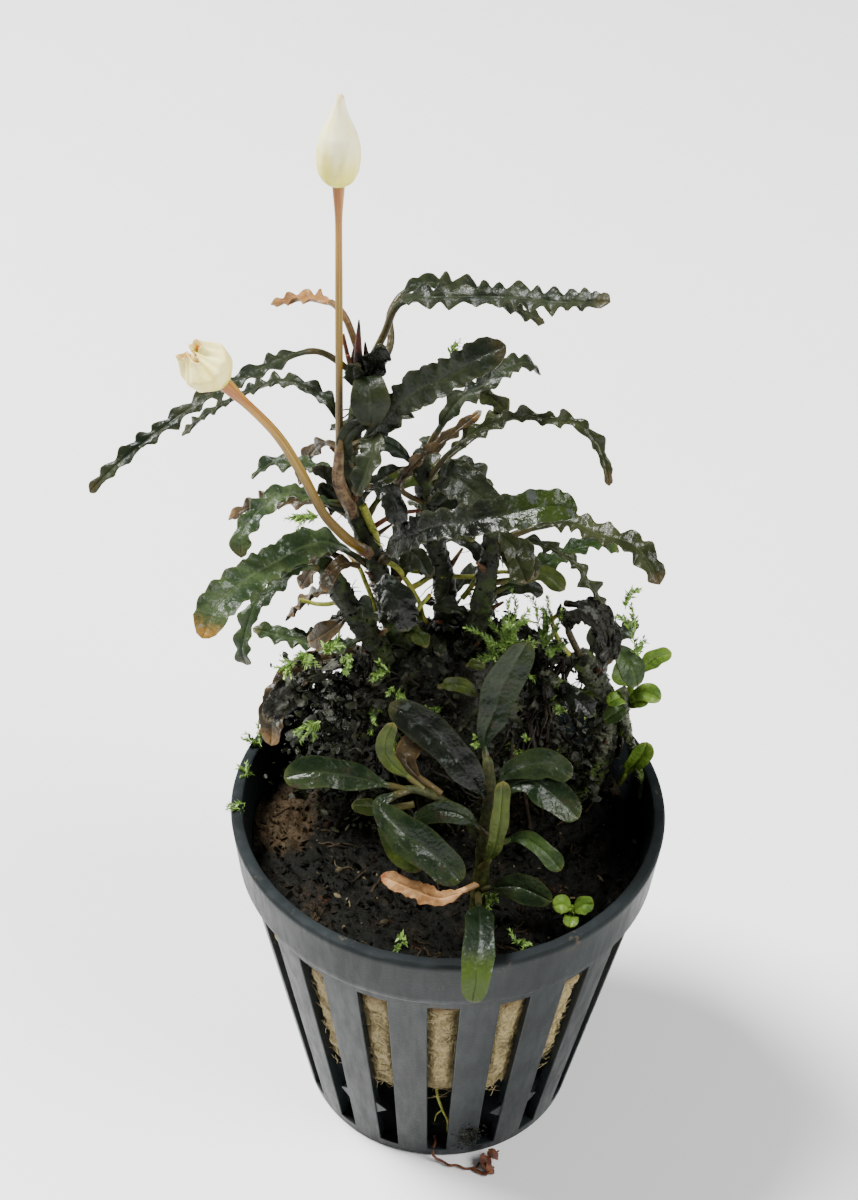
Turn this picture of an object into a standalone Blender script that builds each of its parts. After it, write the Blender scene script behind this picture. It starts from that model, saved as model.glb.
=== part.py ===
"""Potted bucephalandra: creeping rhizomes with wavy leaves and two flowers, rooted in a net pot.

Lengths in the tables and the driving dimensions are millimetres. The origin is the centre of the
pot's underside, +Z is up, and the plant leans over the rim towards -Y.
"""

import math

import bmesh
import bpy
from mathutils import Vector
from mathutils.bvhtree import BVHTree

MM = 0.001
GAP = 0.3  # clear space between pieces that touch

# The net pot
RIM_DIAMETER = 52.0
POT_HEIGHT = 47.0
RIM_BAND_HEIGHT = 7.6
RIM_BAND_DRAFT = 0.7
RIM_WIDTH = 1.4
RIM_ROUNDING = 0.3
BODY_TOP_RADIUS = 24.5
BASE_RADIUS = 17.5
WALL = 1.2
SLOT_COUNT = 18
SLOT_LOW, SLOT_HIGH = 1.8, 37.5
SLOT_WIDTH_LOW, SLOT_WIDTH_HIGH = 2.4, 3.7
TURNED_STEPS = 72

# What fills the pot
WOOL_LOW, WOOL_HIGH = 15.0, 39.0
CRUST_THICKNESS = 1.6
CRUST_LUMP = 0.36
CRUST_WAVES = (0.55, 0.48)  # radians per millimetre along X and Y
CRUST_FALL = 0.02  # the soil lies lower towards +X
CRUST_RINGS = (1.0, 0.86, 0.7, 0.52, 0.34, 0.16)
CRUST_STEPS = 36

# Leaf blades and their stalks
BLADE_THICKNESS = 0.55
PETIOLE_RADIUS = 0.5
TIP_HALF_WIDTH = 0.25
BLADE_FOLD = 0.16  # how far the margins stand above the midrib, as a share of the half width
FACE_HEADING = 0.45  # how much a blade's middle also faces the way the leaf runs
SEATING_STEPS = 3
STATION_SPACING = 2.4
STEM_SPACING = 2.5
MASS_STEPS = 20
MASS_LUMP = 0.07  # how far its lumps stand out, as a share of its radius
CLEAR_STEPS = 30  # a route that stays outside its parent for this many steps has left it
RAY_STEP = 0.000001
FEWEST_STATIONS, MOST_STATIONS = 6, 13

# Flowers
STALK_RADIUS = 0.46
SPATHE_HEIGHT = 10.5
SPATHE_RADIUS = 2.2
SPATHE_STEPS = 16
CUP_LENGTH = 5.6
CUP_RADIUS = 2.7
CUP_WALL = 0.45

COLOURS = {
    "pot_black": ((0.035, 0.038, 0.042), 0.35),
    "rockwool": ((0.48, 0.36, 0.17), 0.95),
    "crust": ((0.045, 0.038, 0.03), 0.9),
    "rhizome": ((0.05, 0.045, 0.025), 0.8),
    "leaf_dark": ((0.035, 0.055, 0.03), 0.4),
    "leaf_olive": ((0.12, 0.13, 0.04), 0.45),
    "leaf_green": ((0.12, 0.35, 0.03), 0.4),
    "leaf_copper": ((0.35, 0.14, 0.06), 0.5),
    "leaf_brown": ((0.2, 0.12, 0.05), 0.6),
    "stalk": ((0.45, 0.28, 0.1), 0.5),
    "spathe": ((0.9, 0.87, 0.68), 0.5),
}


# Scene, collections and materials


def clear_scene():
    for obj in list(bpy.data.objects):
        bpy.data.objects.remove(obj, do_unlink=True)


def new_collection(name):
    collection = bpy.data.collections.new(name)
    bpy.context.scene.collection.children.link(collection)
    return collection


def material(name):
    found = bpy.data.materials.get(name)
    if found:
        return found
    colour, roughness = COLOURS[name]
    made = bpy.data.materials.new(name)
    made.use_nodes = True
    shader = made.node_tree.nodes["Principled BSDF"]
    shader.inputs["Base Color"].default_value = (*colour, 1.0)
    shader.inputs["Roughness"].default_value = roughness
    shader.inputs["Metallic"].default_value = 0.0
    return made


clear_scene()
PARTS = new_collection("potted_bucephalandra")
CUTTERS = new_collection("cutters")


def add_object(name, data, colour, collection=None):
    obj = bpy.data.objects.new(name, data)
    (collection or PARTS).objects.link(obj)
    if colour:
        data.materials.append(material(colour))
    if collection is not None and collection is not PARTS:
        obj.hide_render = True
        obj.display_type = "WIRE"
    return obj


def mesh_from(name, points, faces):
    mesh = bpy.data.meshes.new(name)
    mesh.from_pydata([tuple(p) for p in points], [], faces)
    mesh.validate()
    shape = bmesh.new()
    shape.from_mesh(mesh)
    bmesh.ops.recalc_face_normals(shape, faces=shape.faces)
    shape.to_mesh(mesh)
    shape.free()
    return mesh


def smooth(obj):
    obj.data.shade_smooth()
    obj.data.set_sharp_from_angle(angle=math.radians(40))


# Routes: smooth curves through a few points


def smooth_route(points, steps=24):
    """A Catmull-Rom curve through the points, in metres."""
    knots = [Vector(p) * MM for p in points]
    knots = [2 * knots[0] - knots[1], *knots, 2 * knots[-1] - knots[-2]]
    route = []
    for a, b, c, d in zip(knots, knots[1:], knots[2:], knots[3:]):
        for i in range(steps):
            t = i / steps
            bend = (2 * a - 5 * b + 4 * c - d) * t * t + (3 * b - a - 3 * c + d) * t**3
            route.append(0.5 * (2 * b + (c - a) * t + bend))
    route.append(knots[-2])
    return route


SKINS = {}


def remember_skin(obj):
    """Keeps the object's surface, so that pieces can start just outside it."""
    graph = bpy.context.evaluated_depsgraph_get()
    evaluated = obj.evaluated_get(graph)
    mesh = evaluated.to_mesh()
    corners = [evaluated.matrix_world @ v.co for v in mesh.vertices]
    SKINS[obj.name] = BVHTree.FromPolygons(corners, [tuple(p.vertices) for p in mesh.polygons])
    evaluated.to_mesh_clear()


def inside(skin, point):
    """Whether the point is inside a closed surface: a ray from it crosses the surface oddly often."""
    direction = Vector((0.31, 0.17, 0.94))
    crossings = 0
    place = skin.ray_cast(point, direction)[0]
    while place is not None:
        crossings += 1
        place = skin.ray_cast(place + direction * RAY_STEP, direction)[0]
    return crossings % 2 == 1


def start_outside(route, parent, radius):
    """The route from where a stalk of this radius stands clear of its parent's skin."""
    skin = SKINS[parent]
    start = 0
    for i in range(len(route) - 1):
        _, outward, _, distance = skin.find_nearest(route[i])
        along = (route[i + 1] - route[i]).normalized()
        overhang = radius * MM * math.sqrt(max(0.0, 1 - along.dot(outward) ** 2))
        if inside(skin, route[i]) or distance < GAP * MM + overhang:
            start = i + 1
        elif i > start + CLEAR_STEPS:
            break
    return route[start:]


def resampled(route, count):
    """This many points, evenly spaced along the route."""
    lengths = [0.0]
    for a, b in zip(route, route[1:]):
        lengths.append(lengths[-1] + (b - a).length)
    points = []
    j = 0
    for i in range(count):
        target = lengths[-1] * i / (count - 1)
        while j < len(route) - 2 and lengths[j + 1] < target:
            j += 1
        span = lengths[j + 1] - lengths[j]
        points.append(route[j].lerp(route[j + 1], (target - lengths[j]) / span if span else 0.0))
    return points


def route_length(route):
    return sum((b - a).length for a, b in zip(route, route[1:]))


# Shapes


def turned(name, profile, steps, colour):
    """A profile of (radius, height) pairs turned about Z; its outer side runs from top to bottom."""
    mesh = bpy.data.meshes.new(name)
    edges = [(i, i + 1) for i in range(len(profile) - 1)]
    mesh.from_pydata([(r * MM, 0.0, z * MM) for r, z in profile], edges, [])
    obj = add_object(name, mesh, colour)
    screw = obj.modifiers.new("turn", "SCREW")
    screw.steps = steps
    screw.render_steps = steps
    screw.use_merge_vertices = True
    screw.merge_threshold = 0.00005
    screw.use_smooth_shade = True
    return obj


def tube(name, stations, colour):
    """A round stem through the stations, each a point and a radius in metres."""
    curve = bpy.data.curves.new(name, "CURVE")
    curve.dimensions = "3D"
    curve.bevel_depth = MM
    curve.bevel_resolution = 2
    curve.use_fill_caps = True
    spline = curve.splines.new("POLY")
    spline.points.add(len(stations) - 1)
    for target, (point, radius) in zip(spline.points, stations):
        target.co = (*point, 1.0)
        target.radius = radius / MM
    spline.use_smooth = True
    return add_object(name, curve, colour)


def stem(
    name, points, radius_low, radius_high, parent=None, colour="rhizome", knobs=0.12, spike=0
):
    """A tube that other pieces can start from. Its route starts inside its parent stem.

    Knobs swells it at its leaf scars, and its last stations, as many as spike says, narrow to a
    pointed end.
    """
    route = smooth_route(points)
    if parent:
        route = start_outside(route, parent, radius_low)
    count = max(3, round(route_length(route) / (STEM_SPACING * MM)) + 1)
    stations = []
    for i, point in enumerate(resampled(route, count)):
        share = i / (count - 1)
        swell = 1 + knobs * (1 if i % 2 else -1)
        if i >= count - spike:
            swell = (count - 0.6 - i) / spike
        stations.append((point, (radius_low + (radius_high - radius_low) * share) * swell * MM))
    remember_skin(tube(name, stations, colour))


def blade_share(t):
    """The half width of a blade as a share of its widest, t running from stalk to tip."""
    if t < 0.3:
        return 0.25 + 0.75 * math.sin(math.pi / 2 * t / 0.3)
    if t > 0.75:
        return math.sqrt(max(0.0, 1 - ((t - 0.75) / 0.25) ** 2))
    return 1.0


def directions(points):
    """The way the line runs at each point."""
    last = len(points) - 1
    ends = [(points[max(i - 1, 0)], points[min(i + 1, last)]) for i in range(last + 1)]
    return [(after - before).normalized() for before, after in ends]


def square_to(vector, along):
    """The vector without its share along the line."""
    return (vector - vector.dot(along) * along).normalized()


def leaf_frames(points, lean):
    """The line's direction and the blade's upward side at each point, without twist.

    The blade's middle faces up and towards -Y, the more the greater lean is.
    """
    along = directions(points)
    heading = points[-1] - points[0]
    heading.z = 0
    heading.normalize()
    middle = len(points) // 2
    ups = {middle: square_to(Vector((0, -lean, 1)) + FACE_HEADING * heading, along[middle])}
    for i in range(middle + 1, len(points)):
        ups[i] = square_to(ups[i - 1], along[i])
    for i in range(middle - 1, -1, -1):
        ups[i] = square_to(ups[i + 1], along[i])
    return [(along[i], ups[i]) for i in range(len(points))]


def leaf_points(route, width, stalk_share, wave, lean):
    """Rings of four points round a leaf: margin, top, margin, underside."""
    stations = round(route_length(route) / (STATION_SPACING * MM)) + 2
    stations = min(MOST_STATIONS, max(FEWEST_STATIONS, stations))
    points = resampled(route, stations)
    rings = []
    for i, (along, up) in enumerate(leaf_frames(points, lean)):
        side = along.cross(up)
        share = i / (stations - 1)
        lift, thick, ripple = 0.0, BLADE_THICKNESS / 2, 0.0
        if share < stalk_share or i == 0:
            half, thick = PETIOLE_RADIUS, PETIOLE_RADIUS
        elif i == stations - 1:
            half = TIP_HALF_WIDTH
        else:
            turn = 1 if i % 2 else -1
            half = width / 2 * blade_share((share - stalk_share) / (1 - stalk_share))
            half = max(PETIOLE_RADIUS, half * (1 + wave * turn))
            lift = BLADE_FOLD * half
            ripple = wave * half * turn
        rings.append(
            [
                points[i] + (side * half + up * (lift + ripple)) * MM,
                points[i] + up * thick * MM,
                points[i] + (-side * half + up * (lift - ripple)) * MM,
                points[i] - up * thick * MM,
            ]
        )
    return rings


def seated(rings, parent):
    """The rings with the first one drawn back until it is the gap away from the parent's skin."""
    skin = SKINS[parent]
    for _ in range(SEATING_STEPS):
        first, second = (sum(ring, Vector()) / len(ring) for ring in rings[:2])
        nearest = min(skin.find_nearest(point)[3] for point in [*rings[0], first])
        back = (first - second).normalized() * (nearest - GAP * MM)
        rings[0] = [point + back for point in rings[0]]
    return rings


def lofted(name, rings, colour, collection=None):
    """A closed skin over the rings, with flat ends."""
    count = len(rings[0])
    points = [p for ring in rings for p in ring]
    faces = [list(range(count)), [len(points) - 1 - i for i in range(count)]]
    for r in range(len(rings) - 1):
        for i in range(count):
            j = (i + 1) % count
            faces.append([r * count + i, r * count + j, (r + 1) * count + j, (r + 1) * count + i])
    obj = add_object(name, mesh_from(name, points, faces), colour, collection)
    smooth(obj)
    return obj


def leaf(name, parent, points, width, colour, stalk=0.15, wave=0.12, lean=0.4):
    """A leaf along the points, growing from the parent stem."""
    route = start_outside(smooth_route(points), parent, PETIOLE_RADIUS)
    rings = seated(leaf_points(route, width, stalk, wave, lean), parent)
    return lofted(name, rings, colour)


# The pot and what fills it


def wall_inner_radius(z):
    """The pot's inner radius at this height."""
    low, high = BASE_RADIUS - WALL, BODY_TOP_RADIUS - WALL
    band_low = POT_HEIGHT - RIM_BAND_HEIGHT
    if z <= band_low:
        return low + (high - low) * (z - WALL) / (band_low - WALL)
    top = RIM_DIAMETER / 2 - RIM_WIDTH
    return high + (top - high) * (z - band_low) / RIM_BAND_HEIGHT


def make_pot():
    rim = RIM_DIAMETER / 2
    band_low = POT_HEIGHT - RIM_BAND_HEIGHT
    profile = [
        (0, WALL),
        (wall_inner_radius(WALL), WALL),
        (wall_inner_radius(band_low), band_low),
        (rim - RIM_WIDTH, POT_HEIGHT - RIM_ROUNDING),
        (rim - RIM_WIDTH + RIM_ROUNDING, POT_HEIGHT),
        (rim - RIM_ROUNDING, POT_HEIGHT),
        (rim, POT_HEIGHT - RIM_ROUNDING),
        (rim - RIM_BAND_DRAFT, band_low),
        (BODY_TOP_RADIUS, band_low),
        (BASE_RADIUS, 0),
        (0, 0),
    ]
    pot = turned("pot", profile, TURNED_STEPS, "pot_black")
    cutter = slot_cutter()
    cut = pot.modifiers.new("slots", "BOOLEAN")
    cut.operation = "DIFFERENCE"
    cut.solver = "EXACT"
    cut.object = cutter


def slot_cutter():
    """Wedges through the wall, one for each slot, the first facing -Y."""
    shape = bmesh.new()
    inside, outside = BASE_RADIUS - 3 * WALL, BODY_TOP_RADIUS + WALL
    for i in range(SLOT_COUNT):
        wedge = bmesh.ops.create_cube(shape, size=1.0)["verts"]
        turn = math.tau * i / SLOT_COUNT - math.pi / 2
        out = Vector((math.cos(turn), math.sin(turn), 0))
        across = Vector((-math.sin(turn), math.cos(turn), 0))
        for corner in wedge:
            high = corner.co.z > 0
            reach = outside if corner.co.x > 0 else inside
            half = (SLOT_WIDTH_HIGH if high else SLOT_WIDTH_LOW) / 2
            sideways = half if corner.co.y > 0 else -half
            height = SLOT_HIGH if high else SLOT_LOW
            corner.co = (out * reach + across * sideways + Vector((0, 0, height))) * MM
    bmesh.ops.recalc_face_normals(shape, faces=shape.faces)
    mesh = bpy.data.meshes.new("slots")
    shape.to_mesh(mesh)
    shape.free()
    return add_object("slots", mesh, None, CUTTERS)


def make_rockwool():
    low, high = wall_inner_radius(WOOL_LOW) - GAP, wall_inner_radius(WOOL_HIGH) - GAP
    profile = [(0, WOOL_HIGH), (high, WOOL_HIGH), (low, WOOL_LOW), (0, WOOL_LOW)]
    turned("rockwool", profile, CRUST_STEPS, "rockwool")


def crust_height(x, y):
    """The lumpy height of the soil's surface, lower on the right, in millimetres."""
    along_x, along_y = CRUST_WAVES[0] * x, CRUST_WAVES[1] * y
    lumps = math.sin(along_x + 1.1) * math.cos(along_y - 0.4)
    lumps += 0.5 * math.sin(2 * (along_x - along_y))
    return WOOL_HIGH + GAP + CRUST_THICKNESS + CRUST_LUMP * lumps - CRUST_FALL * x


def make_crust():
    """A thin crust over the rockwool, its top raised into lumps."""
    low = WOOL_HIGH + GAP
    edge = wall_inner_radius(low) - GAP
    rings = [edge * share for share in CRUST_RINGS]
    points, faces = [(0, 0, low * MM)], []
    for radius, bottom in [(edge, True)] + [(r, False) for r in rings]:
        for i in range(CRUST_STEPS):
            turn = math.tau * i / CRUST_STEPS
            x, y = radius * math.cos(turn), radius * math.sin(turn)
            z = low if bottom else crust_height(x, y)
            points.append((x * MM, y * MM, z * MM))
    points.append((0, 0, crust_height(0, 0) * MM))
    for i in range(CRUST_STEPS):
        j = (i + 1) % CRUST_STEPS
        faces.append([0, 1 + j, 1 + i])
        for r in range(len(rings)):
            a, b = 1 + r * CRUST_STEPS, 1 + (r + 1) * CRUST_STEPS
            faces.append([a + i, a + j, b + j, b + i])
        top = 1 + len(rings) * CRUST_STEPS
        faces.append([top + i, top + j, len(points) - 1])
    smooth(add_object("soil_crust", mesh_from("soil_crust", points, faces), "crust"))


# The plant


def make_root_mass():
    """The clump of roots, moss and dead leaves that the rhizomes rise from."""
    levels = [
        # height, centre x and y, half width in x and y
        (42.6, 1.5, 4.5, 6.0, 4.5),
        (47.0, 1.0, 4.5, 7.5, 5.0),
        (52.0, 0.0, 4.5, 8.0, 5.5),
        (57.0, -0.5, 5.0, 10.5, 6.0),
        (61.0, -0.5, 5.5, 12.0, 6.5),
        (65.0, 0.0, 5.5, 9.5, 5.5),
        (68.0, 0.0, 5.5, 5.0, 3.2),
    ]
    rings = []
    for row, (z, x, y, wide, deep) in enumerate(levels):
        ring = []
        for i in range(MASS_STEPS):
            turn = math.tau * i / MASS_STEPS
            lump = 1 + MASS_LUMP * (math.sin(3 * turn + 1.7 * row) + math.cos(7 * turn + row))
            out = Vector((wide * math.cos(turn), deep * math.sin(turn), 0)) * lump
            ring.append((Vector((x, y, z)) + out) * MM)
        rings.append(ring)
    remember_skin(lofted("root_mass", rings, "crust"))


def make_stems():
    stem(
        "rhizome_left",
        [(-6, 4.5, 62), (-8.5, 3.5, 67.5), (-12, 2, 75), (-15, 2, 81.5)],
        1.5, 1.2, "root_mass",
    )
    stem(
        "rhizome_crown",
        [(-4, 5, 64), (-6.5, 5, 68.5), (-8, 5, 74), (-9.5, 5.5, 80), (-11.5, 6, 86)]
        + [(-12, 7, 92.5), (-11, 7.5, 98), (-10.5, 8, 103), (-11, 8.6, 109)],
        1.4, 1.0, "root_mass", "rhizome", 0.12, 3,
    )
    stem(
        "rhizome_mid",
        [(-1.5, 6, 64), (-1, 6.5, 70), (-1.5, 7, 76), (-3, 7, 82), (-4, 8, 88), (-4.5, 8.5, 92)],
        1.5, 1.0, "root_mass",
    )
    stem(
        "rhizome_right",
        [(1, 5, 62), (2, 4.5, 68.5), (3, 4, 74), (3.5, 4, 80), (4, 4.5, 84)],
        1.6, 1.1, "root_mass",
    )
    foot = crust_height(16.5, 8) + 3 * GAP
    stem(
        "rhizome_far",
        [(16.5, 8, foot), (18.5, 8, 45.5), (19, 8, 51), (17.8, 8, 58), (14.8, 7.5, 64)],
        1.2, 1.5,
    )
    foot = crust_height(3.5, -12.5) + 2 * GAP
    stem(
        "sprout_stem",
        [(3.5, -12.5, foot), (4, -11.5, 47), (4, -11, 52), (4.5, -10, 58), (4, -8, 62)],
        1.0, 0.7, None, "leaf_olive", 0.1,
    )


def make_leaves():
    dark, olive, green, brown = "leaf_dark", "leaf_olive", "leaf_green", "leaf_brown"
    crown, mid, right, left = "rhizome_crown", "rhizome_mid", "rhizome_right", "rhizome_left"

    # Crown, spreading left
    leaf(
        "leaf_left_long", crown,
        [(-11, 7.5, 101.5), (-14.5, 6.5, 105), (-17, 5, 106), (-20, 2.5, 106), (-25, -1, 105)]
        + [(-29, -4, 103.5), (-34.5, -7, 100), (-37.5, -8, 97)],
        2.1, dark, 0.22, 0.2,
    )
    leaf(
        "leaf_left_second", crown,
        [(-12, 7, 93), (-14, 8, 97.5), (-15.5, 9.5, 98), (-18.5, 11, 98.5), (-22, 13, 96.5)]
        + [(-28, 15, 91.5), (-31.5, 16, 87.5)],
        1.8, dark, 0.1, 0.2,
    )
    leaf(
        "leaf_copper", crown,
        [(-10.5, 8, 102), (-12, 9, 106.5), (-13, 10, 108), (-14.5, 12, 108), (-17.5, 15, 106.5)]
        + [(-21, 17, 104.5)],
        1.9, "leaf_copper", 0.5, 0.15,
    )

    # Crown, spreading right
    leaf(
        "leaf_top_right", crown,
        [(-10.5, 8, 102), (-8.5, 9, 106), (-7.5, 9, 109), (-6, 8, 111), (-3, 6, 112.5)]
        + [(3, 3, 114.5), (9, -1, 116.5), (13.5, -4, 118.5)],
        3.3, dark, 0.25, 0.14,
    )
    leaf(
        "leaf_top_right_back", crown,
        [(-11, 7.5, 98.5), (-8, 11, 103), (-8, 14, 105.5), (-6, 16, 107.5), (-3, 18, 107)]
        + [(0.5, 20, 105), (5, 21, 102.5), (9, 22, 100)],
        2.6, dark, 0.4, 0.16,
    )
    leaf(
        "leaf_top_tongue", crown,
        [(-10.5, 8, 101), (-10, 5, 103), (-9.8, 3.5, 102), (-9.6, 3, 98.5)],
        4.6, dark, 0.2, 0.0, 1.0,
    )
    leaf(
        "leaf_right_broad", crown,
        [(-11.5, 6.5, 93), (-7.5, 4, 99.5), (-5, 3, 103), (-2, 2, 105.5), (1, 1.5, 108)]
        + [(4, 2, 109.5)],
        4.7, dark, 0.1, 0.1, 0.6,
    )
    leaf(
        "leaf_right_behind", mid,
        [(-4.3, 8.3, 90.5), (-1, 10, 96.5), (2, 12, 98), (4.5, 14, 99), (7, 16, 98.5)]
        + [(8.5, 17, 96.5)],
        2.6, dark, 0.2, 0.14,
    )
    leaf(
        "leaf_pale_fold", mid,
        [(-4, 8, 88.5), (1, 12, 91), (4.5, 14, 92.5), (4, 15, 94), (1.5, 16, 95)],
        2.6, olive, 0.3, 0.16,
    )
    leaf(
        "leaf_right_arched", mid,
        [(-4, 8, 87), (-1.5, 6, 93), (0.5, 5, 96), (3, 4, 98.5), (6, 2, 101), (9, 0, 102)]
        + [(11.5, -2, 103), (13.5, -3, 101.5), (14.5, -4, 99.5), (15, -5, 97.5)],
        2.0, dark, 0.22, 0.24,
    )
    leaf(
        "leaf_thin_folded", mid,
        [(-3.5, 7.5, 85), (-6.5, 4, 90), (-4.5, 3.5, 94), (-1, 5, 96.5), (2, 6.5, 98.5)],
        1.7, brown, 0.3, 0.2,
    )

    # Middle, right side
    leaf(
        "leaf_right_front", crown,
        [(-9, 5.5, 78), (-6.5, 0, 85.5), (-3, -3, 90), (1, -5, 92.5), (5.5, -6, 94.5)]
        + [(9, -6, 95.5), (12, -5, 94.5)],
        4.2, dark, 0.15, 0.12, 0.6,
    )
    leaf(
        "leaf_right_grey", right,
        [(4, 4.5, 82.5), (9, 4.5, 85), (12, 4, 86), (15, 2, 86), (18.5, -1, 87)]
        + [(20.5, -3, 85.5), (21.5, -4, 84)],
        2.8, dark, 0.2, 0.14,
    )
    leaf(
        "leaf_right_green", right,
        [(3, 4, 75), (7.5, 4.5, 77.5), (10, 6, 78.5), (12.5, 7.5, 79), (15.5, 9, 79.5)]
        + [(18.5, 10, 77.5)],
        2.3, green, 0.15, 0.14,
    )
    leaf(
        "leaf_right_inner", mid,
        [(-3.5, 7.5, 85), (-2, 4, 91), (-0.5, 2, 92.5), (2, 0, 92), (4.5, -1.5, 90)],
        4.0, dark, 0.15, 0.1, 0.6,
    )
    leaf(
        "leaf_mid_drop", crown,
        [(-12, 7, 93), (-9.6, 3, 96.8), (-9.3, 1.2, 97), (-9.8, -0.2, 95.6), (-11, -1.2, 92.5)],
        2.7, dark, 0.25, 0.0, 1.0,
    )

    # Middle, left side
    leaf(
        "leaf_left_broad", crown,
        [(-9.5, 5.5, 77.5), (-13.5, 4, 82), (-16.5, 1.5, 83.5), (-19.5, -2, 84)]
        + [(-22.5, -6, 84.5), (-25, -9.5, 84), (-26.5, -12, 81.5)],
        4.7, dark, 0.12, 0.08, 0.6,
    )
    leaf(
        "leaf_left_curl", crown,
        [(-11.5, 6, 85.5), (-14, 5, 87), (-18.5, 3, 89.5), (-20.5, 1, 89.5), (-22, -1, 89)]
        + [(-23, -3, 88), (-23, -4, 86)],
        2.5, dark, 0.15, 0.16,
    )
    leaf(
        "leaf_left_dry_tip", crown,
        [(-11, 6, 83.5), (-15, 9, 84), (-18, 11, 82.5), (-21.5, 13, 81), (-24, 14, 79)]
        + [(-26.5, 14.5, 77)],
        2.4, brown, 0.3, 0.16,
    )
    leaf(
        "leaf_left_hanging", left,
        [(-14.5, 2, 79.5), (-16, 0.5, 81.5), (-18, -1, 82), (-19.5, -3, 81.5)]
        + [(-21.5, -5, 80.5), (-22.5, -6, 78), (-23, -7, 75.5), (-22.5, -7, 73.5)],
        2.1, dark, 0.15, 0.2,
    )
    leaf(
        "leaf_left_low", left,
        [(-9.5, 3.2, 70), (-13.5, 5, 66), (-16, 6, 66), (-19, 7, 65.5), (-23.5, 8, 66)],
        2.4, olive, 0.15, 0.14,
    )
    leaf(
        "leaf_left_small", crown,
        [(-11.5, 6, 87), (-13.5, 8, 87.5), (-16, 10, 88), (-18.5, 12, 87), (-21.5, 13, 86)]
        + [(-23.5, 13, 84)],
        2.0, dark, 0.2, 0.1,
    )
    leaf(
        "leaf_brown_clear", crown,
        [(-12, 7, 92), (-14, 9.5, 91.5), (-15.5, 11.5, 90), (-17, 12.5, 87), (-18, 12, 84)],
        2.4, brown, 0.35, 0.1, 1.0,
    )
    leaf(
        "leaf_left_mid_dark", crown,
        [(-11, 6, 83), (-13.6, 6.8, 86), (-15.4, 6.6, 88.2)],
        2.3, dark, 0.2, 0.1,
    )
    leaf(
        "leaf_dry_low_left", left,
        [(-12.5, 2, 76), (-15, 5, 74.5), (-17.5, 7, 71), (-19.5, 8, 67.5)],
        2.2, brown, 0.2, 0.14,
    )

    # Low leaves round the right side
    leaf(
        "leaf_crusted", "rhizome_far",
        [(15.2, 7.5, 63), (13, 6.3, 69), (13.2, 4, 73), (15, 1.8, 73.8), (16.6, 0, 71.8)]
        + [(17, -1, 68.5)],
        3.5, "rhizome", 0.3, 0.06, 1.0,
    )
    leaf(
        "leaf_right_low", "rhizome_far",
        [(15.8, 7.8, 61.5), (17, 9, 66), (19.5, 11, 64), (22, 12, 65)],
        2.6, dark, 0.2, 0.12,
    )
    leaf(
        "leaf_right_under", right,
        [(4, 4.3, 83), (6, 1, 83.5), (7.5, -2, 82)],
        3.2, olive, 0.15, 0.1, 0.8,
    )

    # Shoots at the front
    shoot = "sprout_stem"
    leaf(
        "leaf_front_tongue", shoot,
        [(4.2, -9, 60), (3.7, -6.5, 63), (4.5, -5.5, 66), (5.5, -4.5, 70), (8, -3.5, 75)],
        4.2, dark, 0.15, 0.0, 3.0,
    )
    leaf(
        "leaf_front_dark", shoot,
        [(4.4, -10.3, 56.5), (2, -10.5, 61.5), (-2, -8.5, 65.5), (-7, -6.5, 68)],
        4.0, dark, 0.1, 0.0, 1.2,
    )
    leaf(
        "leaf_front_narrow", "sprout_side_stem",
        [(-3, -12, 60.3), (-6.8, -10.2, 62.8), (-7.4, -9.6, 65), (-6.5, -9, 67.5)],
        2.0, olive, 0.2, 0.0, 3.0,
    )
    leaf(
        "leaf_front_round", "sprout_side_stem",
        [(-1, -11.6, 59.3), (-4, -10.2, 61), (-5, -9, 62.5), (-3, -7, 65)],
        2.6, brown, 0.3, 0.0, 2.0,
    )
    leaf(
        "leaf_front_left", "sprout_side_stem",
        [(-5, -12.3, 60.5), (-11, -11.5, 61.5), (-15, -11.5, 62), (-18.5, -11.5, 61)],
        3.6, dark, 0.15, 0.08, 0.8,
    )
    leaf(
        "leaf_front_big", "sprout_side_stem",
        [(-4.5, -12.2, 60.4), (-7.6, -14, 60), (-5.5, -15.5, 57.5), (-2, -16.5, 55)]
        + [(1.5, -17.5, 51.5)],
        4.4, dark, 0.12, 0.04, 1.6,
    )
    leaf(
        "leaf_dead_orange", shoot,
        [(3.7, -12.2, 45.5), (-0.5, -15, 46), (-4, -16, 48.5), (-7.5, -15.5, 50)],
        1.9, "leaf_copper", 0.15, 0.16, 1.0,
    )
    leaf(
        "leaf_front_low_right", shoot,
        [(3.7, -12.2, 44.5), (6, -13.5, 46.5), (8.5, -14.5, 47.5), (12, -15.5, 46.5)],
        3.4, dark, 0.2, 0.04, 1.2,
    )
    leaf(
        "leaf_front_green", shoot,
        [(4, -11.2, 50), (8, -11, 52), (10.5, -12, 51.5), (13, -13, 49)],
        2.3, green, 0.3, 0.0, 1.0,
    )
    leaf(
        "leaf_front_right", shoot,
        [(4.3, -10.5, 56), (8, -9.5, 59.5), (11, -10.5, 59), (14.5, -12, 56.5)],
        3.8, dark, 0.2, 0.06, 1.0,
    )
    leaf(
        "leaf_over_rim", shoot,
        [(3.6, -12.3, 44), (3.6, -17, 47.5), (3.6, -23, 50.3), (3.4, -27.5, 49), (3, -29, 44.8)],
        3.4, olive, 0.3, 0.04, 1.0,
    )

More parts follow.
